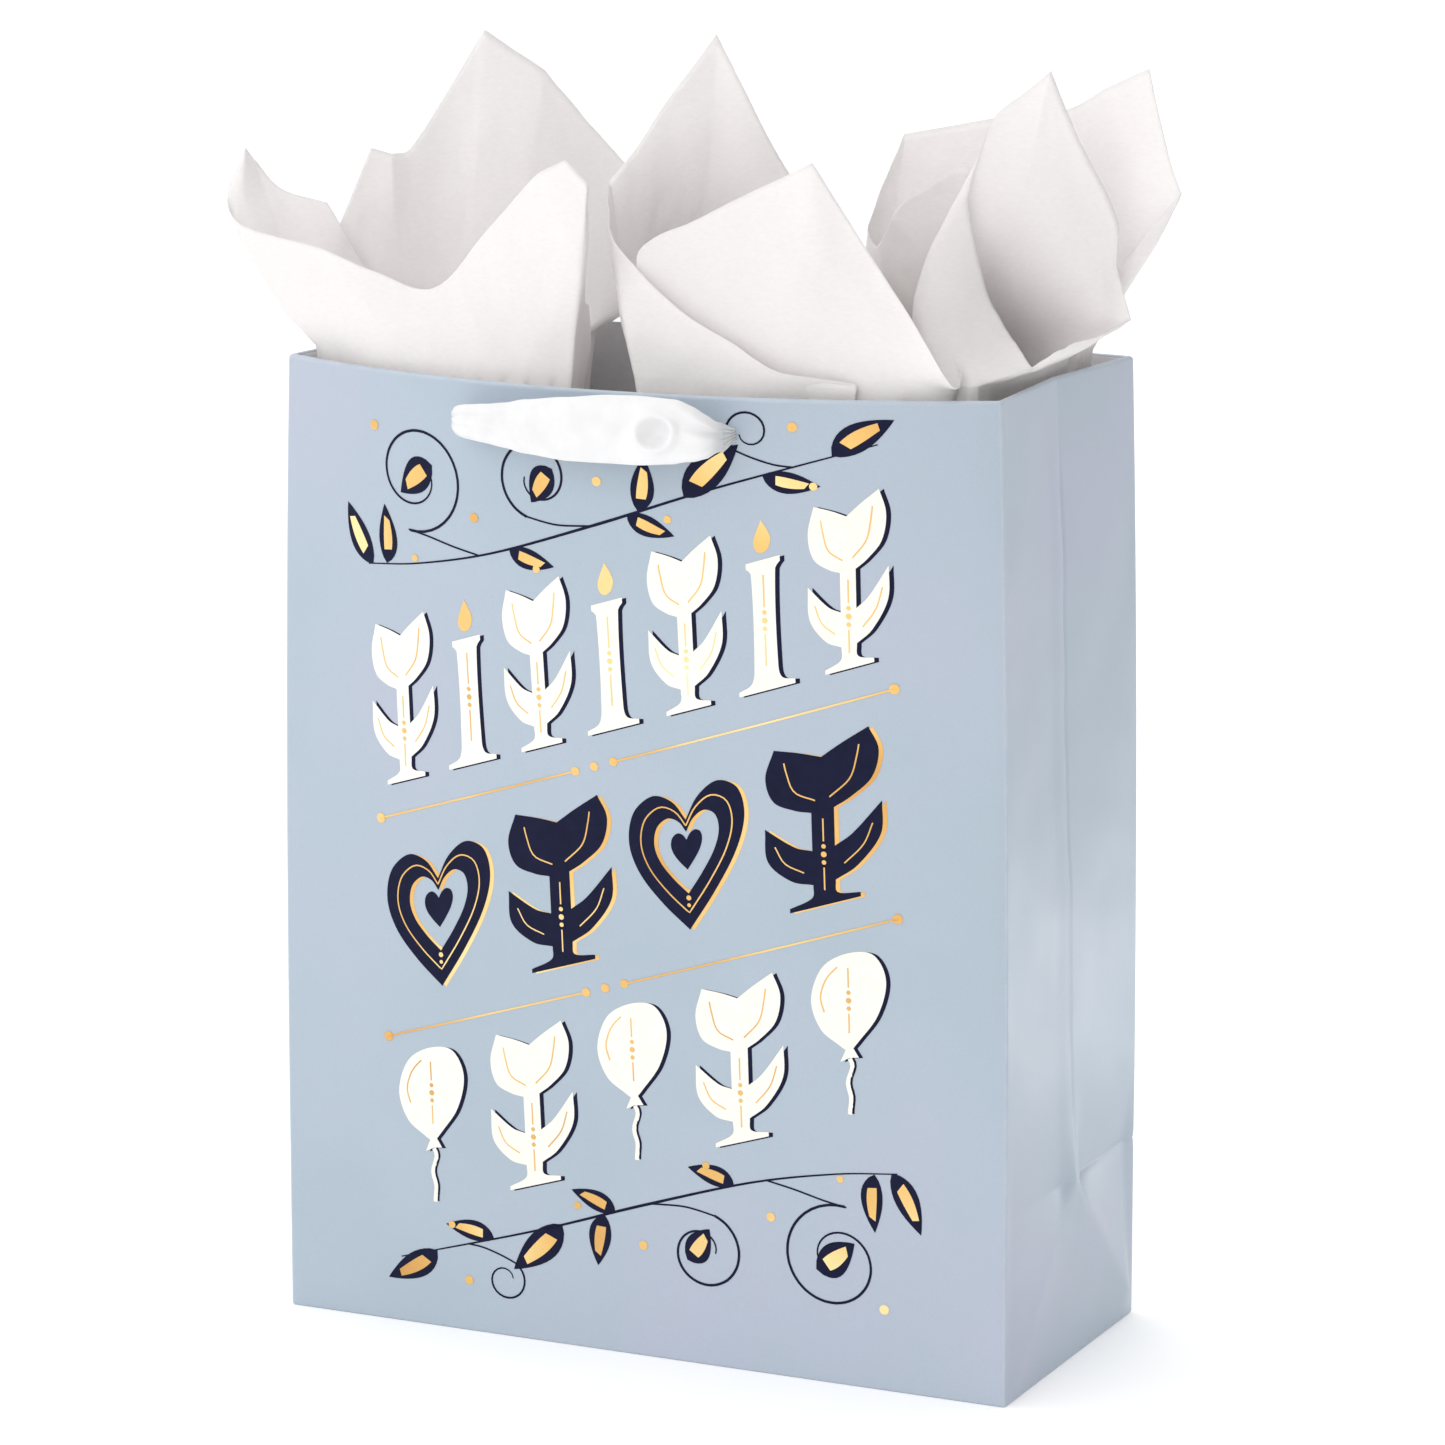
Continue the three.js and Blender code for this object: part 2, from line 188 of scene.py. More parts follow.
class Nodes:
    """A new material and short calls that add nodes to it."""

    def __init__(self, name):
        self.material = bpy.data.materials.new(name)
        self.material.use_nodes = True
        self.tree = self.material.node_tree
        self.shader = self.tree.nodes["Principled BSDF"]
        self.output = self.tree.nodes["Material Output"]

    def add(self, kind, **values):
        node = self.tree.nodes.new("ShaderNode" + kind)
        for key, value in values.items():
            setattr(node, key, value)
        return node

    def link(self, source, target):
        self.tree.links.new(source, target)

    def place(self, scale=(1, 1, 1)):
        coordinates = self.add("TexCoord")
        mapping = self.add("Mapping")
        mapping.inputs["Scale"].default_value = scale
        self.link(coordinates.outputs["Object"], mapping.inputs["Vector"])
        return mapping.outputs["Vector"]

    def noise(self, vector, scale, detail=2.0, roughness=0.5):
        node = self.add("TexNoise")
        node.inputs["Scale"].default_value = scale
        node.inputs["Detail"].default_value = detail
        node.inputs["Roughness"].default_value = roughness
        self.link(vector, node.inputs["Vector"])
        return node.outputs["Fac"]

    def ramp(self, value, stops):
        node = self.add("ValToRGB")
        while len(node.color_ramp.elements) < len(stops):
            node.color_ramp.elements.new(0.5)
        for element, (position, colour) in zip(node.color_ramp.elements, stops):
            element.position = position
            element.color = (*colour, 1)
        self.link(value, node.inputs["Fac"])
        return node.outputs["Color"]

    def product(self, a, b):
        node = self.add("Math", operation="MULTIPLY")
        self.link(a, node.inputs[0])
        self.link(b, node.inputs[1])
        return node.outputs[0]

    def bump(self, height, strength, distance, below=None):
        node = self.add("Bump")
        node.inputs["Strength"].default_value = strength
        node.inputs["Distance"].default_value = distance
        self.link(height, node.inputs["Height"])
        if below is not None:
            self.link(below, node.inputs["Normal"])
        return node.outputs["Normal"]

    def feed(self, socket, value):
        """Links a value or colour to one of the shader's sockets."""
        self.link(value, self.shader.inputs[socket])

    def shade(self, value, dark, light):
        """A grey between two (position, grey) stops."""
        return self.ramp(value, [(place, (level, level, level)) for place, level in (dark, light)])


def printed_paper():
    """Matt laminated paper in a soft blue, with faint mottling and fibre grain."""
    n = Nodes("printed_paper")
    spot = n.place()
    tint = n.ramp(
        n.noise(spot, 9, 3),
        [(0.32, (0.365, 0.440, 0.512)), (0.52, (0.388, 0.452, 0.528)), (0.7, (0.412, 0.446, 0.545))],
    )
    fibre = n.shade(n.noise(n.place((1, 1, 2)), 1500, 3, 0.7), (0.3, 0.955), (0.7, 1.03))
    grained = n.add("MixRGB", blend_type="MULTIPLY")
    grained.inputs["Fac"].default_value = 1
    n.link(tint, grained.inputs["Color1"])
    n.link(fibre, grained.inputs["Color2"])
    wear = n.add("Attribute", attribute_name="fold_wear")
    rubbed = n.shade(n.noise(spot, 150, 3), (0.3, 0.12), (0.7, 0.34))
    worn = n.add("MixRGB")
    worn.inputs["Color2"].default_value = (0.60, 0.64, 0.70, 1)
    n.link(n.product(wear.outputs["Fac"], rubbed), worn.inputs["Fac"])
    n.link(grained.outputs["Color"], worn.inputs["Color1"])
    n.feed("Base Color", worn.outputs["Color"])
    n.feed("Roughness", n.shade(n.noise(spot, 40, 3), (0.3, 0.40), (0.7, 0.47)))
    grain = n.bump(n.noise(spot, 2600, 2), 0.12, 0.0002)
    n.feed("Normal", n.bump(n.noise(spot, 60, 3), 0.10, 0.002, grain))
    n.shader.inputs["Specular IOR Level"].default_value = 0.42
    n.shader.inputs["Coat Weight"].default_value = 0.12
    n.shader.inputs["Coat Roughness"].default_value = 0.32
    return n.material


def plain_paper():
    """The unprinted inside of the sheet: soft white with visible fibres."""
    n = Nodes("plain_paper")
    spot = n.place()
    colour = n.ramp(n.noise(spot, 300, 4, 0.7), [(0.3, (0.80, 0.79, 0.815)), (0.7, (0.86, 0.85, 0.87))])
    n.feed("Base Color", colour)
    n.feed("Roughness", n.shade(n.noise(spot, 90, 2), (0.2, 0.68), (0.8, 0.8)))
    n.feed("Normal", n.bump(n.noise(spot, 1800, 3), 0.25, 0.0002))
    return n.material


def greyboard():
    """Pressed grey card with flecks."""
    n = Nodes("greyboard")
    spot = n.place()
    colour = n.ramp(
        n.noise(spot, 700, 5, 0.75),
        [(0.32, (0.20, 0.18, 0.15)), (0.42, (0.36, 0.34, 0.30)), (0.7, (0.42, 0.40, 0.36))],
    )
    n.feed("Base Color", colour)
    n.feed("Roughness", n.shade(n.noise(spot, 200, 2), (0.2, 0.8), (0.8, 0.95)))
    n.feed("Normal", n.bump(n.noise(spot, 900, 4), 0.4, 0.0003))
    return n.material


def ink(name, dark, light, roughness):
    """A flat printed ink with slight press mottle."""
    n = Nodes(name)
    spot = n.place()
    n.feed("Base Color", n.ramp(n.noise(spot, 220, 4, 0.6), [(0.3, dark), (0.7, light)]))
    n.feed("Roughness", n.shade(n.noise(spot, 500, 2), (0.3, roughness - 0.04), (0.7, roughness + 0.04)))
    n.feed("Normal", n.bump(n.noise(spot, 2600, 2), 0.1, 0.0002))
    n.shader.inputs["Specular IOR Level"].default_value = 0.12
    return n.material


def gold_foil():
    """Stamped gold foil: a metal film whose tone and gloss drift across the bag."""
    n = Nodes("gold_foil")
    spot = n.place()
    tone = n.ramp(
        n.noise(spot, 14, 2),
        [(0.32, (0.62, 0.33, 0.10)), (0.5, (0.80, 0.50, 0.17)), (0.68, (0.95, 0.76, 0.38))],
    )
    n.feed("Base Color", tone)
    n.feed("Roughness", n.shade(n.noise(spot, 900, 3), (0.3, 0.26), (0.7, 0.38)))
    n.feed("Normal", n.bump(n.noise(spot, 1500, 3), 0.2, 0.0002))
    n.shader.inputs["Metallic"].default_value = 0.85
    return n.material


def satin():
    """White satin: close ribs along the ribbon, a soft gloss and a little sheen."""
    n = Nodes("satin")
    uv = n.add("UVMap")
    uv.uv_map = "along_across"
    ribs = n.add("TexWave", wave_type="BANDS", bands_direction="Y")
    ribs.inputs["Scale"].default_value = 900
    ribs.inputs["Distortion"].default_value = 0.6
    n.link(uv.outputs["UV"], ribs.inputs["Vector"])
    spot = n.place()
    colour = n.ramp(n.noise(spot, 120, 2), [(0.3, (0.70, 0.70, 0.71)), (0.7, (0.76, 0.76, 0.77))])
    n.feed("Base Color", colour)
    n.feed("Roughness", n.shade(n.noise(spot, 60, 3), (0.3, 0.3), (0.7, 0.42)))
    n.feed("Normal", n.bump(ribs.outputs["Fac"], 0.12, 0.0002))
    n.shader.inputs["Sheen Weight"].default_value = 0.25
    n.shader.inputs["Sheen Roughness"].default_value = 0.4
    n.shader.inputs["Anisotropic"].default_value = 0.45
    n.shader.inputs["Specular IOR Level"].default_value = 0.6
    return n.material


def tissue_paper():
    """Thin white tissue that lets light through, with fibres and fine crumpling."""
    n = Nodes("tissue_paper")
    spot = n.place()
    fibres = n.noise(n.place((1, 1, 3)), 420, 5, 0.72)
    colour = n.ramp(fibres, [(0.25, (0.90, 0.88, 0.878)), (0.75, (0.955, 0.938, 0.934))])
    n.feed("Base Color", colour)
    n.feed("Roughness", n.shade(n.noise(spot, 80, 2), (0.2, 0.62), (0.8, 0.78)))
    crumple = n.add("TexVoronoi", feature="DISTANCE_TO_EDGE")
    crumple.inputs["Scale"].default_value = 45
    n.link(n.place((1, 1, 0.6)), crumple.inputs["Vector"])
    soft = n.bump(n.noise(spot, 70, 4, 0.6), 0.22, 0.002)
    fine = n.bump(crumple.outputs["Distance"], 0.10, 0.002, soft)
    n.feed("Normal", n.bump(n.noise(spot, 900, 3), 0.15, 0.0002, fine))
    n.shader.inputs["Sheen Weight"].default_value = 0.1
    through = n.add("BsdfTranslucent")
    n.link(colour, through.inputs["Color"])
    n.link(soft, through.inputs["Normal"])
    both = n.add("MixShader")
    both.inputs["Fac"].default_value = 0.42
    n.link(n.shader.outputs["BSDF"], both.inputs[1])
    n.link(through.outputs["BSDF"], both.inputs[2])
    n.link(both.outputs["Shader"], n.output.inputs["Surface"])
    return n.material


PRINTED = printed_paper()
PLAIN = plain_paper()
BOARD = greyboard()
IVORY = ink("ivory_ink", (0.825, 0.810, 0.735), (0.870, 0.855, 0.785), 0.5)
NAVY = ink("navy_ink", (0.0035, 0.005, 0.024), (0.006, 0.008, 0.034), 0.5)
GOLD = gold_foil()
SATIN = satin()
TISSUE = tissue_paper()


# ---- Meshes ----

def make_piece(name, points, faces, materials, face_slots=None, smooth_faces=True):
    """A mesh object from points in millimetres, not yet riding on its body."""
    mesh = bpy.data.meshes.new(name)
    mesh.from_pydata([tuple(c * MM for c in point) for point in points], [], faces)
    piece = bpy.data.objects.new(name, mesh)
    bpy.context.scene.collection.objects.link(piece)
    for material in materials:
        mesh.materials.append(material)
    if face_slots is not None:
        mesh.polygons.foreach_set("material_index", face_slots)
    mesh.polygons.foreach_set("use_smooth", [smooth_faces] * len(mesh.polygons))
    mesh.update()
    return piece


def grid_faces(rows, columns, closed):
    """Quads of a grid whose points run along its columns first."""
    faces = []
    for row in range(rows - 1):
        for column in range(columns if closed else columns - 1):
            after = (column + 1) % columns
            a, b = row * columns + column, row * columns + after
            faces.append((a, b, b + columns, a + columns))
    return faces


def apply_modifiers(piece):
    """Turns a piece with modifiers into a plain mesh."""
    graph = bpy.context.evaluated_depsgraph_get()
    mesh = bpy.data.meshes.new_from_object(piece.evaluated_get(graph), depsgraph=graph)
    piece.modifiers.clear()
    old = piece.data
    piece.data = mesh
    bpy.data.meshes.remove(old)
    return piece


def thicken(piece, thickness, offset=-1.0, inner_slot=0, rim_slot=0):
    solid = piece.modifiers.new("thickness", "SOLIDIFY")
    solid.thickness = thickness * MM
    solid.offset = offset
    solid.use_even_offset = False
    solid.material_offset = inner_slot
    solid.material_offset_rim = rim_slot
    return apply_modifiers(piece)


# ---- The folded paper sheet ----

def mouth_share(z):
    return (max(z, 0.0) / HEIGHT) ** BOW_POWER


def corner_pull(z):
    return CORNER_PULL * mouth_share(z) ** 2


def wall_bow(side, across, z):
    """How far a wall stands out, across from -1 to 1 between its folds."""
    bow = FRONT_BOW if side == FRONT else BACK_BOW
    return bow * mouth_share(z) * (1 - across * across)


def wave(x, z, seed, size):
    return noise.noise(Vector((x / size, z / size, seed)))


def wall_unevenness(side, across, z):
    """Slight waves in the paper, nothing at the folds and at the stiff top."""
    calm = (1 - across ** 4) * smooth(0, 30, z) * smooth(0, 30, HEIGHT - HEM_DEPTH + 10 - z)
    x = across * HALF_WIDTH
    return 0.55 * calm * (wave(x, z, 3.0 + side, 85) + 0.4 * wave(x, z, 8.0 + side, 38))


def wall_place(side, across, z, inward):
    """A point of the front or back wall, across from -1 to 1 seen from the front."""
    x = across * (HALF_WIDTH - corner_pull(z) - inward)
    out = HALF_DEPTH + wall_bow(side, across, z) + wall_unevenness(side, across, z) - inward
    return Vector((x, side * out, z))


def foot_relief(along, z):
    """The folded foot of a gusset: a ridge up each diagonal and a valley across at the crease."""
    crease = 1 - abs(along)
    diagonal = GUSSET_CREASE * crease
    strength = mix(0.5, 1.0, smooth(-0.3, 0.1, along))
    ridge = FOOT_RIDGE * strength * smooth(0, 0.22, crease)
    sunk = -FOOT_VALLEY * strength * smooth(0, 0.1, crease)
    valley = mix(ridge, sunk, smooth(0, 0.16, abs(along)))
    pressed = smooth(-0.02, 0.05, along) * math.exp(-((z - GUSSET_CREASE) / 0.8) ** 2)
    if z < diagonal:
        return ridge * z / diagonal
    if z < GUSSET_CREASE:
        rise = (z - diagonal) / (GUSSET_CREASE - diagonal + 0.01)
        return mix(ridge, valley, rise) - PRESSED_DEPTH * pressed
    fading = 1 - min((z - GUSSET_CREASE) / FOOT_FADE, 1)
    return valley * fading ** 1.5 - PRESSED_DEPTH * pressed


def crease_relief(along, z):
    """The pressed line up a gusset's middle, with a soft swelling before it."""
    strength = smooth(GUSSET_CREASE - 3, GUSSET_CREASE + 3, z)
    strength *= smooth(0, 30, HEIGHT - 12 - z)
    groove = -0.42 * math.exp(-(along / 0.018) ** 2)
    swelling = 0.8 * math.exp(-((along + 0.10) / 0.07) ** 2)
    return strength * (groove + swelling)


def gusset_place(side, along, z, inward):
    """A point of a gusset, along from -1 at the front to 1 at the back."""
    crease = 1 - abs(along)
    rise = (z - GUSSET_CREASE) / (HEIGHT - GUSSET_CREASE)
    tuck = GUSSET_TUCK * crease * max(rise, 0)
    y = along * HALF_DEPTH
    soft = smooth(0, 0.12, crease) * smooth(0, 20, z) * smooth(0, 30, HEIGHT - 24 - z)
    swell = soft * (0.9 * wave(y, z, 21.0 + side, 60) + 0.4 * wave(y, z, 31.0 + side, 24))
    relief = swell + foot_relief(along, z) + crease_relief(along, z)
    if side == LEFT:  # the glued side flap lies behind this paper, so it can't sink in there
        relief = max(relief, mix(-9, -0.25, smooth(0.45, 0.66, along)))
    x = HALF_WIDTH - corner_pull(z) - tuck + relief - inward
    return Vector((side * x, along * (HALF_DEPTH - inward), z))


def sheet_place(side_index, share, z, inward):
    """Sides in order: front, right, back, left, each share running round the bag."""
    across = 2 * share - 1
    if side_index == 0:
        return wall_place(FRONT, across, z, inward)
    if side_index == 1:
        return gusset_place(RIGHT, across, z, inward)
    if side_index == 2:
        return wall_place(BACK, -across, z, inward)
    return gusset_place(LEFT, -across, z, inward)


def side_shares(side_index):
    """Where the points of one side stand, closer together at a gusset's middle crease."""
    if side_index % 2 == 0:
        return [i / 60 for i in range(61)]
    even = [i / 44 for i in range(45)]
    close = [0.5 + i * 0.006 for i in (-3, -2, -1, 1, 2, 3)]
    return sorted(even + close)


def stations():
    """Places round the bag: on a flat side, or on the curve that rounds a corner."""
    found = []
    for side_index in range(4):
        length = 2 * (HALF_WIDTH if side_index % 2 == 0 else HALF_DEPTH)
        inset = FOLD_ROUND / length
        for share in side_shares(side_index):
            found.append(("flat", side_index, mix(inset, 1 - inset, share)))
        following = (side_index + 1) % 4
        next_length = 2 * (HALF_DEPTH if side_index % 2 == 0 else HALF_WIDTH)
        for share in (0.2, 0.4, 0.6, 0.8):
            found.append(("corner", side_index, 1 - inset, following, FOLD_ROUND / next_length, share))
    return found


def station_place(station, z, inward):
    if station[0] == "flat":
        return sheet_place(station[1], station[2], z, inward)
    _, side_index, from_share, following, to_share, t = station
    start = sheet_place(side_index, from_share, z, inward)
    corner = sheet_place(side_index, 1.0, z, inward)
    end = sheet_place(following, to_share, z, inward)
    return start * (1 - t) ** 2 + corner * (2 * t * (1 - t)) + end * t ** 2


def sheet_profile():
    """The way up the wall, over the top fold and down the hem, as (height, inward)."""
    top_round = WALL_LAYERS / 2
    rows = [(0.0, 0.5), (0.35, 0.12)]
    rows += [(1.0 + FINE_ROW * i, 0.0) for i in range(27)]
    rows += [(GUSSET_CREASE + step, 0.0) for step in (-0.8, 0.0, 0.8)]
    height = GUSSET_CREASE + 3.0
    while height < HEIGHT - top_round - 3:
        rows.append((height, 0.0))
        height += 2 * FINE_ROW
    rows.append((HEIGHT - top_round - 0.5, 0.0))
    for step in range(9):
        angle = math.pi * step / 8
        rows.append((HEIGHT - top_round * (1 - math.sin(angle)), top_round * (1 - math.cos(angle))))
    for step in range(1, 9):
        rows.append((HEIGHT - top_round - (HEM_DEPTH - top_round) * step / 8, WALL_LAYERS))
    return rows


def add_bag_sheet():
    """The whole printed sheet: four walls, the rounded top fold and the turned-in hem."""
    round_the_bag = stations()
    rows = sheet_profile()
    points = [station_place(station, z, inward) for z, inward in rows for station in round_the_bag]
    faces = grid_faces(len(rows), len(round_the_bag), True)
    hem_start = next(i for i, (_, inward) in enumerate(rows) if inward >= WALL_LAYERS * 0.95)
    columns = len(round_the_bag)
    slots = [1 if index // columns >= hem_start else 0 for index in range(len(faces))]
    piece = make_piece("bag_sheet", points, faces, [PRINTED, PLAIN], slots)
    wear = piece.data.attributes.new("fold_wear", "FLOAT", "POINT")
    worn = [1.0 if station[0] == "corner" else 0.0 for station in round_the_bag]
    top_fold = [smooth(1.6, 0.4, HEIGHT - z) for z, _ in rows]
    wear.data.foreach_set("value", [max(w, top) for top in top_fold for w in worn])
    thicken(piece, PAPER, -1.0, 1, 0)
    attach(piece, "bag")
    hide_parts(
        "front_panel", "back_panel", "left_gusset_front_half", "left_gusset_back_half",
        "right_gusset_front_half", "right_gusset_back_half", "front_turned_hem",
        "back_turned_hem", "left_turned_hem", "right_turned_hem",
    )
    return piece


def dress_kept_nodes():
    """The flat flaps and boards keep their CAD shapes and get the finer materials."""
    for name in ("bottom_front_flap", "bottom_back_flap"):
        set_material(name, PRINTED)
    for name in ("bottom_left_tuck", "bottom_right_tuck", "side_glue_flap"):
        set_material(name, PLAIN)
    for name in ("front_top_card", "back_top_card", "base_board"):
        set_material(name, BOARD)


def set_material(name, material):
    mesh = frame["nodes"][name].data
    mesh.materials.clear()
    mesh.materials.append(material)


add_bag_sheet()
dress_kept_nodes()


# ---- Printed ornament ----
# It is drawn flat, x across and z up the panel, then laid on the wall a hair's breadth
# proud of the paper. Rows of motifs climb to the right, each motif standing upright.

CLIMB = 0.32
SHADOW_LIFT, INK_LIFT, FOIL_LIFT = 0.06, 0.10, 0.14
INK_THICKNESS = 0.035
FACE_SIZE = 5
SHARP = "sharp"
SOFT = "soft"
LINE_HALF, THREAD_HALF = 0.3, 0.24
SHADOW_DROP, SHADOW_ASIDE = 0.5, 1.5

TULIP = [
    (0, 49.5, SHARP), (3.4, 52.4, SOFT), (7.8, 55.5, SHARP), (9.4, 47, SOFT), (8.2, 38.5, SOFT),
    (4.6, 33.8, SOFT), (1.9, 31.8, SHARP), (1.9, 19, SHARP), (4.8, 21.6, SOFT), (9.8, 30, SHARP),
    (9.5, 19, SOFT), (5.6, 10.6, SOFT), (1.9, 7.6, SHARP), (2.1, 3.4, SOFT), (6, 1.4, SHARP),
    (6, 0, SHARP), (0, 0, SHARP),
]
CANDLE = [
    (0, 43, SHARP), (5.6, 43, SHARP), (5.6, 41.2, SHARP), (4.0, 39.2, SOFT), (4.0, 7, SOFT),
    (5.2, 3, SOFT), (9.4, 1.5, SHARP), (9.4, 0, SHARP), (0, 0, SHARP),
]
FLAME = [(0, 56, SHARP), (2.8, 49.6, SOFT), (1.9, 46.2, SOFT), (0, 45.2, SOFT)]
HEART = [
    (0, 38, SHARP), (4.6, 45, SOFT), (11.5, 48.5, SOFT), (18.4, 44.6, SOFT), (20.6, 35, SOFT),
    (17.4, 24, SOFT), (9.6, 12, SOFT), (0, 0.5, SHARP),
]
BALLOON = [
    (0, 56, SOFT), (8.6, 53.4, SOFT), (12.8, 43.6, SOFT), (9.8, 32.6, SOFT), (2.8, 25, SOFT),
    (1.3, 23.6, SHARP), (3.2, 20, SHARP), (0, 20.6, SHARP),
]


def outline(half, wide=1.0):
    """A closed outline from its right half, as points about a millimetre apart."""
    right = [(x * wide, y, kind) for x, y, kind in half]
    left = [(-x, y, kind) for x, y, kind in reversed(right) if x > 0]
    points = right + left
    places = [Vector((x, y)) for x, y, _ in points]
    kinds = [kind for _, _, kind in points]
    found = []
    for index, place in enumerate(places):
        length = (places[(index + 1) % len(places)] - place).length
        steps = max(1, round(length / 1.1))
        for step in range(steps):
            found.append(round_loop(places, kinds, index, step / steps, 1.0))
    return found


def round_loop(places, kinds, index, share, sharpness):
    """Between two places of a loop, straight beside a sharp one and curved beside a soft one."""
    count = len(places)
    before, start = places[(index - 1) % count], places[index]
    end, after = places[(index + 1) % count], places[(index + 2) % count]
    straight = end - start
    length = max(straight.length, 1e-6)
    back, front = max((start - before).length, 1e-6), max((after - end).length, 1e-6)
    leaving = (end - before) / (back + length) * length
    arriving = (after - start) / (length + front) * length
    if kinds[index] == SHARP:
        leaving = leaving.lerp(straight, sharpness)
    if kinds[(index + 1) % count] == SHARP:
        arriving = arriving.lerp(straight, sharpness)
    return hermite(start, end, leaving, arriving, share)


def hermite(start, end, leaving, arriving, share):
    """A point on the curve that leaves start and reaches end in given directions."""
    t2, t3 = share * share, share ** 3
    return (
        start * (2 * t3 - 3 * t2 + 1) + end * (3 * t2 - 2 * t3)
        + leaving * (t3 - 2 * t2 + share) + arriving * (t3 - t2)
    )


def filled(points):
    """Small triangles inside a closed outline, so that they can follow the bowed wall."""
    low = Vector((min(p.x for p in points), min(p.y for p in points)))
    high = Vector((max(p.x for p in points), max(p.y for p in points)))
    inner = []
    x = low.x + FACE_SIZE / 2
    while x < high.x:
        y = low.y + FACE_SIZE / 2
        while y < high.y:
            inner.append(Vector((x, y)))
            y += FACE_SIZE
        x += FACE_SIZE
    border = list(range(len(points)))
    found = geometry.delaunay_2d_cdt(points + inner, [], [border], 1, 1e-5)
    return found[0], found[2]


def ring(outer, inner):
    """The band between two outlines that have the same number of points."""
    levels = 3
    rows = [[a.lerp(b, i / levels) for a, b in zip(outer, inner)] for i in range(levels + 1)]
    return [p for row in rows for p in row], grid_faces(levels + 1, len(outer), True)


class Print:
    """Everything printed on one panel: filled shapes, lines and dots of each ink."""

    def __init__(self):
        self.shapes = {"ivory": [], "navy": [], "gold": []}
        self.lines = {"ivory": [], "navy": [], "gold": []}
        self.dots = {"ivory": [], "navy": [], "gold": []}

    def shape(self, ink_name, mesh, placing, lift):
        points, faces = mesh
        self.shapes[ink_name].append(([placing(p) for p in points], faces, lift))

    def line(self, ink_name, points, placing, half=LINE_HALF):
        """A line whose half width is one number, or one at each end and one in the middle."""
        self.lines[ink_name].append(([placing(Vector(p)) for p in points], half))

    def dot(self, ink_name, point, placing, radius):
        self.dots[ink_name].append((placing(Vector(point)), radius))


def climbing(x, z, drop=0.0, aside=0.0):
    """Places a motif's own points on the panel, upright on a line that climbs."""
    return lambda p: Vector((x + p.x + aside, z + p.y - drop + CLIMB * (p.x + aside)))


def as_drawn(p):
    return Vector((p.x, p.y))


def turned_over(p):
    """The lower sprig is the upper one turned half round."""
    return Vector((3 - p.x, 339 - p.y))


def inline(page, placing, bottom, top):
    """A fine foil line up a motif's middle, broken by three dots."""
    middle = (bottom + top) / 2
    page.line("gold", [(0, bottom), (0, middle - 4.4)], placing, THREAD_HALF)
    page.line("gold", [(0, middle + 4.4), (0, top)], placing, THREAD_HALF)
    for step, radius in ((-1, 0.75), (0, 0.95), (1, 0.75)):
        page.dot("gold", (0, middle + step * 2.7), placing, radius)


def add_motif(page, fill, shadow, mesh, x, z):
    """A flat shape and its offset shadow."""
    page.shape(shadow, mesh, climbing(x, z, SHADOW_DROP, SHADOW_ASIDE), SHADOW_LIFT)
    page.shape(fill, mesh, climbing(x, z), INK_LIFT)


def add_tulip(page, fill, shadow, x, z, wide=1.0):
    add_motif(page, fill, shadow, filled(outline(TULIP, wide)), x, z)
    placing = climbing(x, z)
    inline(page, placing, 5, 29)
    for side in (LEFT, RIGHT):
        petal = [(side * wide * a, b) for a, b in ((1.2, 35.6), (4.6, 40), (5.8, 46.6), (6.2, 50.5))]
        page.line("gold", smooth_line(petal), placing, THREAD_HALF)
        leaf = [(side * wide * a, b) for a, b in ((3.4, 12.4), (6.6, 17), (8.2, 23.4))]
        page.line("gold", smooth_line(leaf), placing, 0.22)


def add_candle(page, x, z):
    add_motif(page, "ivory", "navy", filled(outline(CANDLE)), x, z)
    page.shape("gold", filled(outline(FLAME)), climbing(x, z), INK_LIFT)
    inline(page, climbing(x, z), 8, 38)


def add_heart(page, x, bottom):
    z = bottom + 2
    outer = outline(HEART)
    inner = [Vector((p.x * 0.56, 28.6 + (p.y - 28.6) * 0.56)) for p in outer]
    add_motif(page, "navy", "gold", ring(outer, inner), x, z)
    placing = climbing(x, z)
    thread = [(p.x * 0.79, 28 + (p.y - 28) * 0.79) for p in outer]
    page.line("gold", thread + thread[:1], placing, THREAD_HALF)
    small = [Vector((p.x * 0.27, 28.6 + (p.y - 28.6) * 0.27)) for p in outer]
    page.shape("navy", filled(small[::2]), placing, INK_LIFT)
    for z_dot, radius in ((8.9, 0.65), (11.4, 0.85), (13.9, 0.65)):
        page.dot("gold", (0, z_dot), placing, radius)


def add_balloon(page, x, z):
    add_motif(page, "ivory", "navy", filled(outline(BALLOON)), x, z)
    string = [(1.1 * math.sin(step * 0.55) * (1 - step / 22), 20.4 - step) for step in range(20)]
    page.line("navy", [(a + 1.1, b) for a, b in string], climbing(x, z), 0.4)
    page.line("ivory", string, climbing(x, z), 0.75)
    placing = climbing(x, z)
    shine = [(-8.4, 38), (-9.6, 43.6), (-7.4, 49.2), (-3.6, 52.2)]
    page.line("gold", smooth_line(shine), placing, THREAD_HALF)
    inline(page, placing, 29, 51)


def smooth_line(points, spacing=1.5):
    """A curve through a few points."""
    places = [Vector(p) for p in points]
    found = []
    for index in range(len(places) - 1):
        before = places[index - 1] if index else places[0] * 2 - places[1]
        after = places[index + 2] if index + 2 < len(places) else places[-1] * 2 - places[-2]
        start, end = places[index], places[index + 1]
        leaving, arriving = (end - before) / 2, (after - start) / 2
        steps = max(2, round((end - start).length / spacing))
        found += [hermite(start, end, leaving, arriving, step / steps) for step in range(steps)]
    return found + [places[-1]]


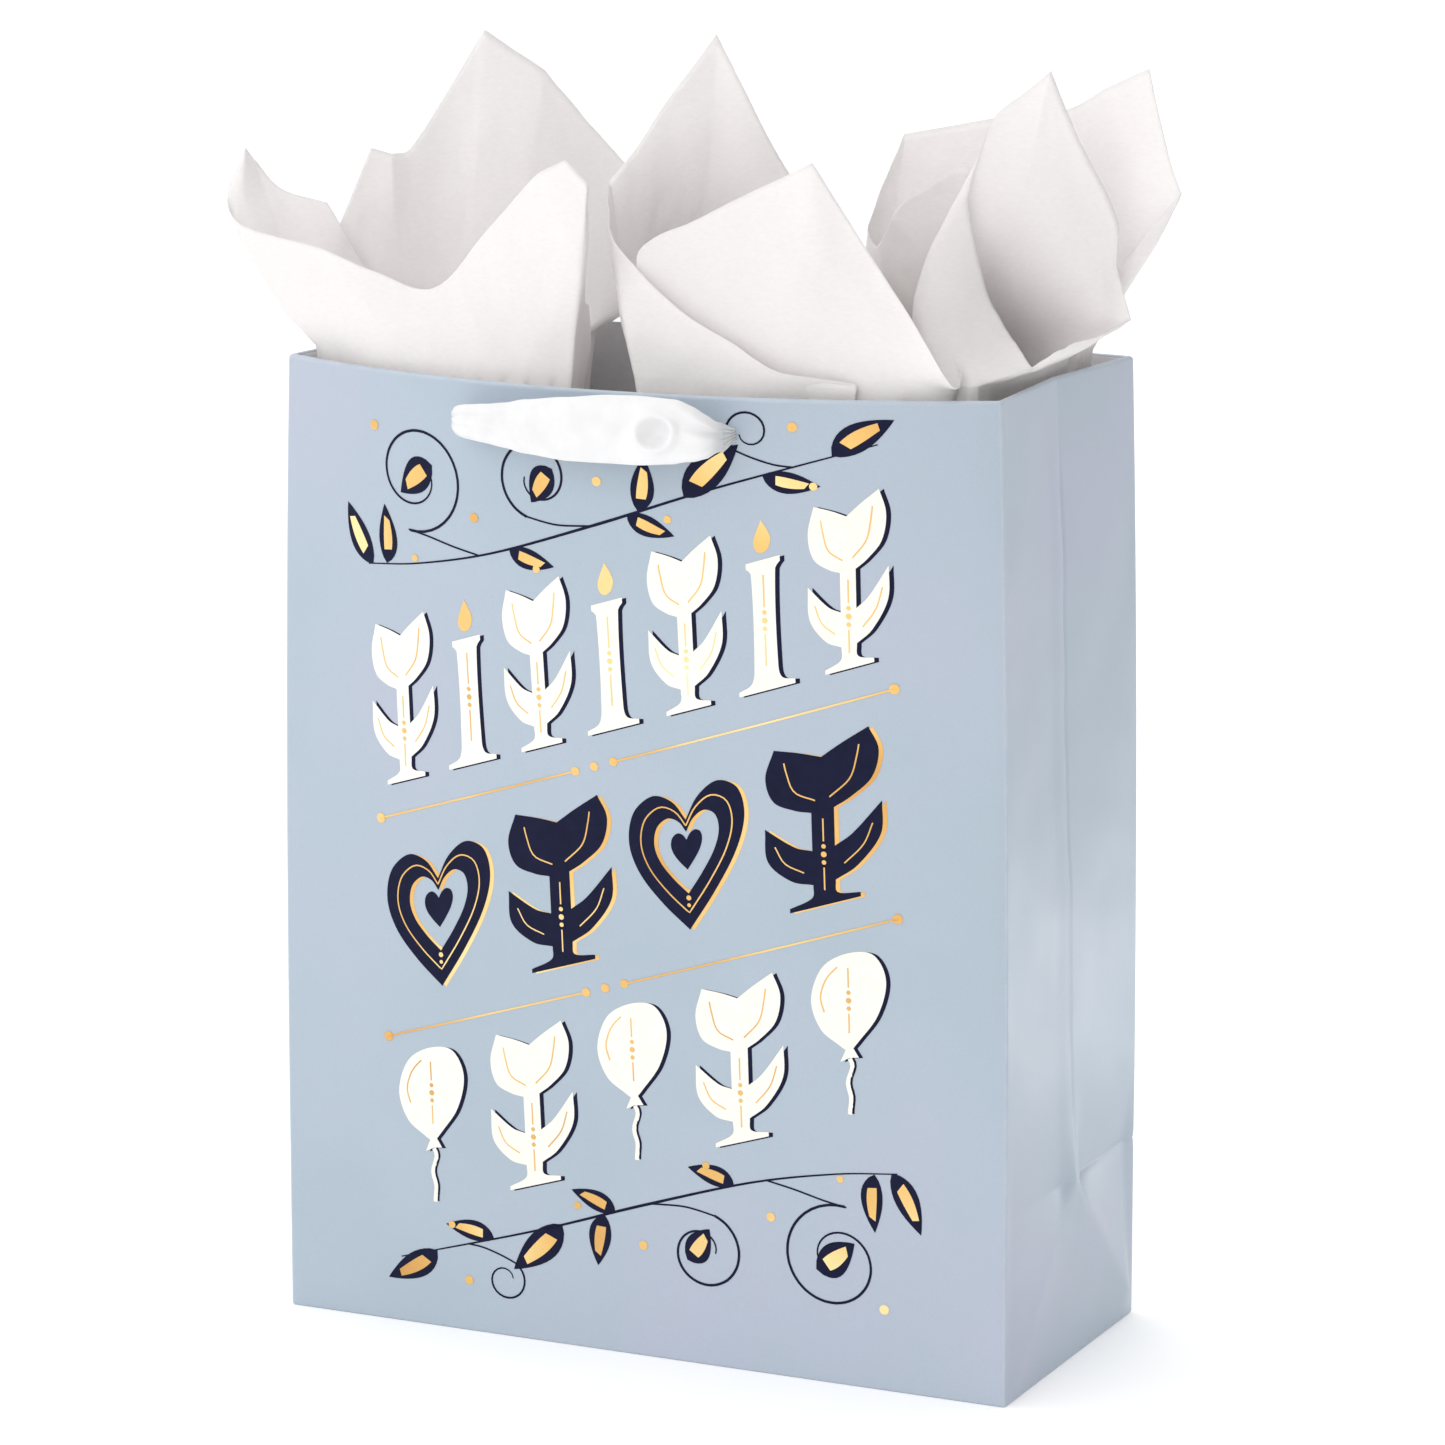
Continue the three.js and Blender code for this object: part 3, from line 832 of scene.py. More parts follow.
def add_rule(page, start, end):
    """A foil rule with a dot at each end and a break with three dots."""
    start, end = Vector(start), Vector(end)
    for a, b in ((0.0, 0.405), (0.495, 1.0)):
        page.line("gold", [start.lerp(end, a), start.lerp(end, b)], as_drawn, 0.32)
    for share, radius in ((0, 1.7), (1, 1.7), (0.412, 1.5), (0.45, 1.5), (0.488, 1.5)):
        page.dot("gold", start.lerp(end, share), as_drawn, radius)


def spiral(centre, radius, first, turns, close):
    """A tendril curling in, first being the angle where it starts."""
    points = []
    steps = int(abs(turns) * 40)
    for step in range(steps + 1):
        share = step / steps
        angle = first + share * turns * 2 * math.pi
        reach = radius * mix(1, close, share ** 1.3)
        points.append((centre[0] + reach * math.cos(angle), centre[1] + reach * math.sin(angle)))
    return points


def add_leaf(page, placing, base, angle, length, width, curl):
    """A pointed leaf in ink, with a smaller foil blade inside it."""
    along = Vector((math.cos(angle), math.sin(angle)))
    across = Vector((-along.y, along.x))

    def blade(grow, start, end):
        rim = []
        for side in (1, -1):
            for step in range(13):
                share = step / 12 if side == 1 else 1 - step / 12
                t = mix(start, end, share)
                out = width * grow * math.sin(math.pi * t ** 0.8) ** 0.9 * side
                bend = curl * length * (t * t)
                rim.append(Vector(base) + along * (t * length) + across * (out + bend))
        return [p for i, p in enumerate(rim) if i not in (13, 25)]

    page.shape("navy", filled(blade(1.0, 0.0, 1.0)), placing, INK_LIFT)
    page.shape("gold", filled(blade(0.46, 0.22, 0.80)), placing, FOIL_LIFT)


LEAVES = [  # base, angle, length, width and curl
    ((-90, 264), 2.2, 22.1, 4.29, -0.16), ((-84, 265), 1.35, 19.5, 3.9, 0.224),
    ((-63, 300), 3.6, 16.9, 5.72, 0.192), ((-16, 303), 3.9, 14.3, 4.94, 0.192),
    ((14, 291), 1.25, 18.2, 4.16, 0.16), ((30, 296.5), 0.9, 26, 5.46, -0.128),
    ((78, 312), 0.75, 22.1, 4.68, -0.192), ((-34, 275), -0.5, 16.9, 3.64, 0.224),
    ((56, 305), -0.35, 18.2, 3.64, 0.192), ((10, 290), -0.6, 16.9, 3.64, 0.224),
]


def add_sprig(page, placing):
    """A climbing stem with curled tendrils, leaves and berries."""
    stem = smooth_line([(-92, 264), (-70, 266.5), (-40, 273), (0, 286), (40, 300), (92, 316)])
    page.line("navy", stem, placing, (0.2, 0.5, 0.2))
    page.line("navy", spiral((-70, 296), 19, -1.75, 1.32, 0.30), placing, (0.46, 0.46, 0.25))
    page.line("navy", smooth_line([(-46, 271.5), (-56, 273.5), (-66, 276), (-74, 277.5)]), placing)
    page.line("navy", spiral((-22, 299.5), 14, -1.9, -1.2, 0.32), placing, (0.46, 0.46, 0.25))
    page.line("navy", smooth_line([(-3, 285), (-14, 284.4), (-20, 285), (-27, 286.4)]), placing)
    page.line("navy", spiral((52, 319), 7.5, -2.2, -1.1, 0.4), placing, (0.36, 0.36, 0.2))
    page.line("navy", smooth_line([(66, 308), (60, 308.6), (53, 310.6), (47, 313)]), placing)
    for base, angle, length, width, curl in LEAVES:
        add_leaf(page, placing, base, angle, length, width, curl)
    for point, radius in (
        ((-87, 311), 1.7), ((-47, 284), 1.6), ((-72, 268), 1.2), ((0, 300), 1.6),
        ((66, 321), 1.6), ((-24, 269), 1.3), ((24, 289), 1.3), ((72, 302), 1.3),
    ):
        page.dot("gold", point, placing, radius)


def add_row(page, count, first, spacing, bottom, even_motif, odd_motif):
    """A climbing row of two motifs in turn."""
    for index in range(count):
        x = first + spacing * index
        add = odd_motif if index % 2 else even_motif
        add(page, x, bottom + CLIMB * (x + 92))


def draw_page():
    page = Print()
    add_row(
        page, 7, -80, 27, 187.5,
        lambda page, x, z: add_tulip(page, "ivory", "navy", x, z, 1.3), add_candle,
    )
    add_row(
        page, 4, -69, 47, 111.5,
        add_heart, lambda page, x, z: add_tulip(page, "navy", "gold", x, z, 2.0),
    )
    add_row(
        page, 5, -75, 38.5, 37.5,
        add_balloon, lambda page, x, z: add_tulip(page, "ivory", "navy", x, z, 1.6),
    )
    add_rule(page, (-91, 177), (96, 237))
    add_rule(page, (-91, 101), (96, 161))
    add_sprig(page, as_drawn)
    add_sprig(page, turned_over)
    return page


def start_tree(name, setting, setting_kind):
    """A node tree whose inputs are flat geometry, one setting and an ink."""
    tree = bpy.data.node_groups.new(name, "GeometryNodeTree")
    kinds = {"Geometry": "NodeSocketGeometry", setting: setting_kind, "Ink": "NodeSocketMaterial"}
    for socket, kind in kinds.items():
        tree.interface.new_socket(socket, in_out="INPUT", socket_type=kind)
    tree.interface.new_socket("Geometry", in_out="OUTPUT", socket_type="NodeSocketGeometry")
    return tree, tree.nodes.new("NodeGroupInput")


def finish_tree(tree, given, made):
    """Real faces in the given ink, from whatever the tree has made."""
    add, link = tree.nodes.new, tree.links.new
    real, finish = add("GeometryNodeRealizeInstances"), add("GeometryNodeSetMaterial")
    link(made, real.inputs["Geometry"])
    link(real.outputs["Geometry"], finish.inputs["Geometry"])
    link(given.outputs["Ink"], finish.inputs["Material"])
    link(finish.outputs["Geometry"], add("NodeGroupOutput").inputs["Geometry"])
    return tree


def point_value(tree, name):
    node = tree.nodes.new("GeometryNodeInputNamedAttribute")
    node.data_type = "FLOAT"
    node.inputs["Name"].default_value = name
    return node.outputs["Attribute"]


def line_tree():
    """Turns edges into flat lines, as wide as the half_width value at each point."""
    tree, given = start_tree("printed_lines", "Spacing", "NodeSocketFloat")
    add, link = tree.nodes.new, tree.links.new
    curve, resample = add("GeometryNodeMeshToCurve"), add("GeometryNodeResampleCurve")
    resample.mode = "LENGTH"
    width = point_value(tree, "half_width")
    radius, upright = add("GeometryNodeSetCurveRadius"), add("GeometryNodeSetCurveNormal")
    upright.mode = "Z_UP"
    profile, sweep = add("GeometryNodeCurvePrimitiveLine"), add("GeometryNodeCurveToMesh")
    profile.inputs["Start"].default_value = (-1, 0, 0)
    profile.inputs["End"].default_value = (1, 0, 0)
    link(given.outputs["Geometry"], curve.inputs["Mesh"])
    link(curve.outputs["Curve"], resample.inputs["Curve"])
    link(given.outputs["Spacing"], resample.inputs["Length"])
    link(resample.outputs["Curve"], radius.inputs["Curve"])
    link(width, radius.inputs["Radius"])
    link(radius.outputs["Curve"], upright.inputs["Curve"])
    link(upright.outputs["Curve"], sweep.inputs["Curve"])
    link(profile.outputs["Curve"], sweep.inputs["Profile Curve"])
    if "Scale" in sweep.inputs:
        link(width, sweep.inputs["Scale"])
    return finish_tree(tree, given, sweep.outputs["Mesh"])


def dot_tree():
    """Puts a flat round dot at each point, as large as its radius value."""
    tree, given = start_tree("printed_dots", "Sides", "NodeSocketInt")
    add, link = tree.nodes.new, tree.links.new
    disc, place = add("GeometryNodeMeshCircle"), add("GeometryNodeInstanceOnPoints")
    disc.fill_type = "TRIANGLE_FAN"
    disc.inputs["Radius"].default_value = 1
    link(given.outputs["Geometry"], place.inputs["Points"])
    link(given.outputs["Sides"], disc.inputs["Vertices"])
    link(disc.outputs["Mesh"], place.inputs["Instance"])
    link(point_value(tree, "radius"), place.inputs["Scale"])
    return finish_tree(tree, given, place.outputs["Instances"])


LINE_TREE = line_tree()
DOT_TREE = dot_tree()


def run_tree(tree, points, edges, attribute, values, setting, amount, material):
    """Points and faces that a tree makes from flat points, edges and one value each."""
    mesh = bpy.data.meshes.new(tree.name)
    mesh.from_pydata([(p.x, p.y, 0) for p in points], edges, [])
    mesh.attributes.new(attribute, "FLOAT", "POINT").data.foreach_set("value", values)
    carrier = bpy.data.objects.new(tree.name, mesh)
    bpy.context.scene.collection.objects.link(carrier)
    modifier = carrier.modifiers.new(tree.name, "NODES")
    modifier.node_group = tree
    sockets = {s.name: s.identifier for s in tree.interface.items_tree if s.in_out == "INPUT"}
    modifier[sockets[setting]] = amount
    modifier[sockets["Ink"]] = material
    graph = bpy.context.evaluated_depsgraph_get()
    result = bpy.data.meshes.new_from_object(carrier.evaluated_get(graph), depsgraph=graph)
    found = [Vector((v.co.x, v.co.y)) for v in result.vertices]
    faces = [tuple(face.vertices) for face in result.polygons]
    bpy.data.objects.remove(carrier)
    bpy.data.meshes.remove(result)
    return found, faces


def half_width_at(half, share):
    if isinstance(half, tuple):
        start, middle, end = half
        return mix(start, middle, share * 2) if share < 0.5 else mix(middle, end, share * 2 - 1)
    return half


def printed_lines(lines, material):
    points, edges, values = [], [], []
    for line, half in lines:
        first = len(points)
        for index, place in enumerate(line):
            points.append(place)
            values.append(half_width_at(half, index / (len(line) - 1)))
            if index:
                edges.append((first + index - 1, first + index))
    return run_tree(LINE_TREE, points, edges, "half_width", values, "Spacing", 1.5, material)


def printed_dots(dots, material):
    points = [place for place, _ in dots]
    return run_tree(DOT_TREE, points, [], "radius", [r for _, r in dots], "Sides", 20, material)


def facing_up(points, face):
    """True where a flat face runs round against the clock."""
    a, b, c = (points[i] for i in face[:3])
    return (b - a).cross(c - a) > 0


def lay_on_wall(name, parts, side, material):
    """Lays flat parts (points, faces, lift) on a wall as one thin piece."""
    places, faces = [], []
    for points, part_faces, lift in parts:
        first = len(places)
        for p in points:
            across = p.x / (HALF_WIDTH - corner_pull(p.y))
            places.append(wall_place(side, across if side == FRONT else -across, p.y, -lift))
        for face in part_faces:
            order = face if facing_up(points, face) else tuple(reversed(face))
            faces.append(tuple(first + i for i in order))
    piece = make_piece(name, places, faces, [material], None, False)
    thicken(piece, INK_THICKNESS)
    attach(piece, "bag")
    return piece


def add_print(side, side_name):
    for ink_name, material in (("ivory", IVORY), ("navy", NAVY), ("gold", GOLD)):
        parts = list(PAGE.shapes[ink_name])
        if PAGE.lines[ink_name]:
            lift = FOIL_LIFT if ink_name == "gold" else INK_LIFT
            parts.append((*printed_lines(PAGE.lines[ink_name], material), lift))
        if PAGE.dots[ink_name]:
            parts.append((*printed_dots(PAGE.dots[ink_name], material), FOIL_LIFT))
        lay_on_wall(f"{side_name}_{ink_name}_print", parts, side, material)


PAGE = draw_page()
add_print(FRONT, "front")
add_print(BACK, "back")


# ---- Satin ribbon handles ----

FRONT_HOLE = -JOINTS["front_handle_swing"]["pos_m"][1] / MM  # the swing line, outward
BACK_HOLE = JOINTS["back_handle_swing"]["pos_m"][1] / MM
HOLE_HEIGHT = JOINTS["front_handle_swing"]["pos_m"][2] / MM
HOLE_SPREAD = sum(edge("front_right_ribbon_knot", corner, 0) for corner in (LOW, HIGH)) / 2
RIBBON_HALF = 11
RIBBON_REACH = 14.2
RIBBON_THICKNESS = 0.25
LEFT_ROUNDNESS, RIGHT_ROUNDNESS = 2.0, 5
NECK_HALF = 2.0
NECK_STEPS = 16
ROW_SPACING = 0.9
ACROSS_STEPS = 44
KNOT_RADIUS = 3.3
CORD_RADIUS = 1.25
HALF_WIDTHS = [
    (-48.5, 1.9), (-47.6, 3.0), (-46, 4.2), (-43.5, 5.0), (-40, 5.5), (-32, 6.2), (-24, 7.2),
    (-17, 8.6), (-2, 10.2), (12, 10.9), (24, 11), (36, 10.2), (42, 8.6), (46, 6.8), (48.5, 4.6),
]
HEIGHTS = [(-48.5, 0.3), (-32, 0.8), (-2, 1.4), (15, 2.4), (38, 2.8), (48.5, 1.0)]


def read_off(table, x):
    """A value between the entries of a short table."""
    for (x0, a), (x1, b) in zip(table, table[1:]):
        if x <= x1:
            return mix(a, b, smooth(x0, x1, x) * 0.5 + 0.5 * min(max((x - x0) / (x1 - x0), 0), 1))
    return table[-1][1]


def band_line(turn):
    """A point of the band's middle line, turn from 0 at the left hole to pi at the right."""
    c, s = math.cos(turn), math.sin(turn)
    power = 2 / (LEFT_ROUNDNESS if c > 0 else RIGHT_ROUNDNESS)
    x = -HOLE_SPREAD * math.copysign(abs(c) ** power, c)
    return Vector((x, RIBBON_REACH * s ** power))


def band_path():
    """Points along the ribbon from knot to knot, as (x, outward from the swing line)."""
    arc = [band_line(math.pi * i / 800) for i in range(801)]
    spaced = [arc[0]]
    for point in arc[1:]:
        while (point - spaced[-1]).length > ROW_SPACING:
            spaced.append(spaced[-1] + (point - spaced[-1]).normalized() * ROW_SPACING)
    spaced.append(arc[-1])
    into_left = [Vector((-HOLE_SPREAD, -14.5 + i * ROW_SPACING)) for i in range(NECK_STEPS)]
    into_right = [Vector((HOLE_SPREAD, p.y)) for p in reversed(into_left)]
    return into_left + spaced + into_right


def ribbon_width(x, out):
    """Half the width: gathered in the holes, full right of the middle."""
    flare = smooth(-7.5, 1.5, out)
    return mix(NECK_HALF, read_off(HALF_WIDTHS, x), flare)


def ribbon_relief(x, across, openness):
    """How far the satin stands off its flat band: gathers, a dimple and curled edges."""
    gathers = (1 - openness) * mix(0.6, 1.1, smooth(-30, 30, x)) * math.cos(across * 9.5)
    left_fan = 0.4 * (1 - smooth(-46, 2, x)) * math.cos(across * 7.5 + 0.4)
    right_fan = 0.75 * smooth(27, 45, x) * math.cos(across * 8 + 0.6)
    ring = math.hypot((x - 30) / 5.0, (across * RIBBON_HALF + 0.4) / 4.6)
    open_ring = 1 - 0.6 * smooth(0.2, 1.0, across)
    dimple = -3.6 * math.exp(-ring ** 2 * 1.6)
    dimple += 1.5 * open_ring * math.exp(-((ring - 1.25) / 0.3) ** 2)
    curl = -1.1 * across ** 4 - 0.3 * across ** 2
    soft = 0.35 * math.sin(x * 0.11 + across * 1.3)
    return gathers + openness * (left_fan + right_fan + dimple + curl + soft)


def ribbon_place(point, across, side, hole):
    out = point.y
    half = ribbon_width(point.x, out)
    openness = smooth(NECK_HALF, RIBBON_HALF * 0.8, half)
    relief = ribbon_relief(point.x, across, openness)
    standing = smooth(0, 5, out)
    folded = half * across if half > NECK_HALF + 0.3 else half * math.sin(across * 1.4)
    height = HOLE_HEIGHT + read_off(HEIGHTS, point.x) * smooth(0, 8, out) + folded
    x = point.x + math.copysign(relief * (1 - standing), -point.x) * 0.8
    return Vector((x, side * (hole + out + relief * standing), height))


def knot_points(centre):
    """A small overhand knot: a thick cord on a three-lobed loop."""
    path_steps, ring_steps = 72, 10
    path = []
    for step in range(path_steps):
        t = 2 * math.pi * step / path_steps
        x = math.sin(t) + 2 * math.sin(2 * t)
        z = math.cos(t) - 2 * math.cos(2 * t)
        path.append(Vector((x * 0.68, -math.sin(3 * t) * 0.95, z * 0.68)))
    points = []
    for index, place in enumerate(path):
        ahead = (path[(index + 1) % path_steps] - path[index - 1]).normalized()
        first = ahead.cross(Vector((0, 1, 0.2))).normalized()
        second = ahead.cross(first)
        for ring in range(ring_steps):
            angle = 2 * math.pi * ring / ring_steps
            ribs = 1 + 0.07 * math.cos(3 * angle + index * 0.2)
            offset = first * math.cos(angle) * 1.15 + second * math.sin(angle) * 0.8
            points.append(centre + place + offset * CORD_RADIUS * ribs)
    faces = grid_faces(path_steps, ring_steps, True)
    last = (path_steps - 1) * ring_steps
    for ring in range(ring_steps):
        after = (ring + 1) % ring_steps
        faces.append((last + ring, last + after, after, ring))
    return points, faces


def ribbon_band(name, side, hole):
    """The band with its UV map: metres along the ribbon and across it."""
    across_values = [2 * i / ACROSS_STEPS - 1 for i in range(ACROSS_STEPS + 1)]
    path = band_path()
    points = [ribbon_place(point, v, side, hole) for point in path for v in across_values]
    band = make_piece(name, points, grid_faces(len(path), len(across_values), False), [SATIN])
    layer = band.data.uv_layers.new(name="along_across")
    for loop in band.data.loops:
        row, column = divmod(loop.vertex_index, len(across_values))
        along, across = row * ROW_SPACING, across_values[column] * RIBBON_HALF
        layer.data[loop.index].uv = (along * MM, across * MM)
    settle = band.modifiers.new("settle", "SUBSURF")
    settle.levels = 1
    settle.render_levels = 1
    apply_modifiers(band)
    return thicken(band, RIBBON_THICKNESS, 0.0)


def knot_cord(knot, side):
    """The tied cord that lies where a knot's CAD solid does."""
    low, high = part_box(knot)
    wall_face = (low if side == BACK else high)[1] / MM
    centre = Vector((
        (low[0] + high[0]) / 2 / MM, wall_face + side * KNOT_RADIUS, (low[2] + high[2]) / 2 / MM,
    ))
    return make_piece(knot + "_cord", *knot_points(centre), [SATIN])


def add_ribbon(side_name, side, hole):
    """One ribbon from knot to knot, in one piece with its two knots."""
    band = ribbon_band(side_name + "_ribbon", side, hole)
    knots = [f"{side_name}_{end}_ribbon_knot" for end in ("left", "right")]
    cords = [knot_cord(knot, side) for knot in knots]
    merged = bmesh.new()
    for piece in [band] + cords:
        merged.from_mesh(piece.data)
    merged.to_mesh(band.data)
    merged.free()
    for cord in cords:
        bpy.data.objects.remove(cord)
    band.data.polygons.foreach_set("use_smooth", [True] * len(band.data.polygons))
    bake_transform(band)
    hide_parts(side_name + "_ribbon_handle", *knots)


add_ribbon("front", FRONT, FRONT_HOLE)
add_ribbon("back", BACK, BACK_HOLE)


# ---- Tissue sheets ----

RIM = HEIGHT + 3
NECK = edge("centre_tissue", LOW, 2)
NECK_SHARE = 0.35
TISSUE_THICKNESS = 0.12
GATHER = 0.7
SHEET_COLUMNS, LOWER_ROWS, UPPER_ROWS = 300, 17, 26


def curve_point(before, start, end, after, share):
    """Between start and end on a smooth curve through all four."""
    lengths = [max((b - a).length, 1e-6) for a, b in ((before, start), (start, end), (end, after))]
    leaving = (end - before) / (lengths[0] + lengths[1]) * lengths[1]
    arriving = (after - start) / (lengths[1] + lengths[2]) * lengths[1]
    return hermite(start, end, leaving, arriving, share)


def along_column(points, share):
    """A place on the smooth line up a column, by its length."""
    lengths = [(b - a).length for a, b in zip(points, points[1:])]
    goal = share * sum(lengths)
    index = 0
    while index < len(lengths) - 1 and goal > lengths[index]:
        goal -= lengths[index]
        index += 1
    before = points[index - 1] if index else points[0] * 2 - points[1]
    last = points[-1] * 2 - points[-2]
    after = points[index + 2] if index + 2 < len(points) else last
    return curve_point(before, points[index], points[index + 1], after, goal / lengths[index])


def crumple(place, seed, size, depth):
    """Facets with ridges between them, as crumpled paper has."""
    spot = Vector((place.x / size + seed, place.y / size, place.z / (size * 1.5)))
    near, next_near = noise.voronoi(spot)[0][:2]
    return depth * (min(next_near - near, 0.5) - 0.2)


def sheet_stations(rims, tops):
    """Places round a sheet, as (column, share of the way to the next, turn so far)."""
    spans = []
    for index, rim in enumerate(rims):
        after = (index + 1) % len(rims)
        free_edge = (tops[after][-1] - tops[index][-1]).length
        spans.append(max((rims[after] - rim).length, 0.6 * free_edge))
    whole = sum(spans)
    found, walked = [], 0.0
    for index, span in enumerate(spans):
        steps = max(4, round(SHEET_COLUMNS * span / whole))
        for step in range(steps):
            found.append((index, step / steps, (walked + span * step / steps) / whole))
        walked += span
    return found


def gathered_rows(rims, kinds, places_round, pleats):
    """Rows from the neck up to the mouth, pleated below it."""
    middle = sum(rims, Vector()) / len(rims)
    rows = []
    for level in [i / LOWER_ROWS for i in range(LOWER_ROWS)]:
        z = mix(NECK, RIM, level)
        gather = GATHER * (1 - smooth(RIM - 60, RIM - 8, z))
        row = []
        for index, share, turn in places_round:
            place = round_loop(rims, kinds, index, share, 0.2)
            fold = 0.5 - 0.5 * math.cos(2 * math.pi * pleats * turn + 0.8 * math.sin(17 * turn))
            scale = mix(NECK_SHARE, 1, level) * (1 - gather * fold)
            flat = middle + (place - middle) * scale
            row.append(Vector((flat.x, flat.y, z)))
        rows.append(row)
    return rows


def open_rows(tops, kinds, places_round):
    """Rows from the mouth up to the free edge."""
    rows = []
    for level in [i / UPPER_ROWS for i in range(UPPER_ROWS + 1)]:
        places = [along_column(points, level) for points in tops]
        rows.append([round_loop(places, kinds, i, share, level ** 0.7) for i, share, _ in places_round])
    return rows


def sheet_mesh(name, columns, seed, pleats):
    """Each column is (its place at the mouth, how it bends there, its points up to the edge)."""
    rims = [Vector((*column[0], RIM)) for column in columns]
    tops = [[rim] + [Vector(p) for p in column[2:]] for rim, column in zip(rims, columns)]
    kinds = [column[1] for column in columns]
    places_round = sheet_stations(rims, tops)
    rows = gathered_rows(rims, kinds, places_round, pleats) + open_rows(tops, kinds, places_round)
    points = [place for row in rows for place in row]
    piece = make_piece(name, points, grid_faces(len(rows), len(places_round), True), [TISSUE])
    normals = [vertex.normal.copy() for vertex in piece.data.vertices]
    for vertex, normal, place in zip(piece.data.vertices, normals, points):
        move = crumple(place, seed, 30, 1.8) + crumple(place, seed + 9, 13, 0.7)
        move += 0.9 * wave(place.x + place.y, place.z, seed, 34)
        vertex.co += normal * move * smooth(RIM - 25, RIM + 12, place.z) * MM
    return piece


def outward(piece):
    """Turns the faces so that they point away from the gathered middle."""
    mesh = bmesh.new()
    mesh.from_mesh(piece.data)
    middle = sum((v.co for v in mesh.verts), Vector()) / len(mesh.verts)
    low = [f for f in mesh.faces if f.calc_center_median().z < 0.2]
    facing = sum(f.normal.dot(f.calc_center_median() - middle) for f in low)
    if facing < 0:
        bmesh.ops.reverse_faces(mesh, faces=mesh.faces)
    mesh.to_mesh(piece.data)
    mesh.free()


def add_tissue(name, body, columns, seed, pleats):
    piece = sheet_mesh(name + "_sheet", columns, seed, pleats)
    outward(piece)
    thicken(piece, TISSUE_THICKNESS, 0.0)
    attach(piece, body)
    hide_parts(name)


def add_left_rear_tissue():
    """The tall flat point at the back left, and the small tip beside it."""
    columns = [
        ((-118, -2), SHARP, (-129, -14, 350), (-133, -19, 361)),
        ((-114, -3), SHARP, (-121, -12, 358), (-118, -17, 395)),
        ((-104, -5), SHARP, (-112, -10, 362), (-112, -13, 393)),
        ((-95, -6), SOFT, (-105, -5, 364), (-110, -4, 394)),
        ((-82, -7), SHARP, (-90, 4, 370), (-98, 28, 432)),
        ((-66, -8), SHARP, (-76, 14, 372), (-81, 40, 418)),
        ((-54, -8), SOFT, (-64, 22, 362), (-72, 52, 400)),
        ((-46, -4), SOFT, (-52, 42, 348), (-62, 65, 384)),
        ((-58, 30), SOFT, (-54, 62, 341), (-57, 71, 370)),
        ((-69, 49), SOFT, (-68, 68, 340), (-70, 74, 360)),
        ((-92, 48), SOFT, (-94, 56, 346), (-94, 56, 366)),
        ((-116, 44), SOFT, (-124, 42, 346), (-126, 36, 366)),
        ((-118, 20), SOFT, (-130, 16, 346), (-132, 8, 362)),
    ]
    add_tissue("left_rear_tissue", "left_rear_sheet", columns, 3.1, 34)


def add_left_front_tissue():
    """The front left point, whose left side opens into a cup."""
    columns = [
        ((-13, -76), SHARP, (-10, -76, 364), (-8, -74, 393)),
        ((-20, -77), SHARP, (-16, -76, 368), (-17, -73, 401)),
        ((-34, -77), SOFT, (-32, -75, 366), (-28, -73, 395)),
        ((-54, -76), SOFT, (-52, -75, 352), (-46, -73, 376)),
        ((-74, -72), SOFT, (-72, -73, 346), (-66, -72, 357)),
        ((-91, -67), SOFT, (-92, -70, 347), (-89, -69, 361)),
        ((-107, -60), SOFT, (-114, -64, 346), (-110, -66, 367)),
        ((-119, -54), SOFT, (-134, -58, 350), (-142, -57, 362), (-147, -56, 372)),
        ((-121, -46), SOFT, (-138, -51, 352), (-150, -50, 366), (-157, -46, 380)),
        ((-121, -40), SHARP, (-139, -44, 354), (-151, -42, 376), (-153, -40, 396)),
        ((-120, -30), SHARP, (-136, -33, 352), (-148, -33, 376), (-153, -33, 391)),
        ((-119, -22), SOFT, (-131, -26, 352), (-146, -28, 381)),
        ((-118, -12), SHARP, (-126, -22, 350), (-130, -26, 377)),
        ((-104, -12), SOFT, (-108, -16, 342), (-112, -18, 348)),
        ((-66, -14), SOFT, (-68, -18, 340), (-68, -20, 344)),
        ((-38, -18), SOFT, (-36, -22, 340), (-34, -26, 348)),
        ((-24, -48), SOFT, (-22, -50, 342), (-20, -54, 356)),
    ]
    add_tissue("left_front_tissue", "left_front_sheet", columns, 5.7, 34)


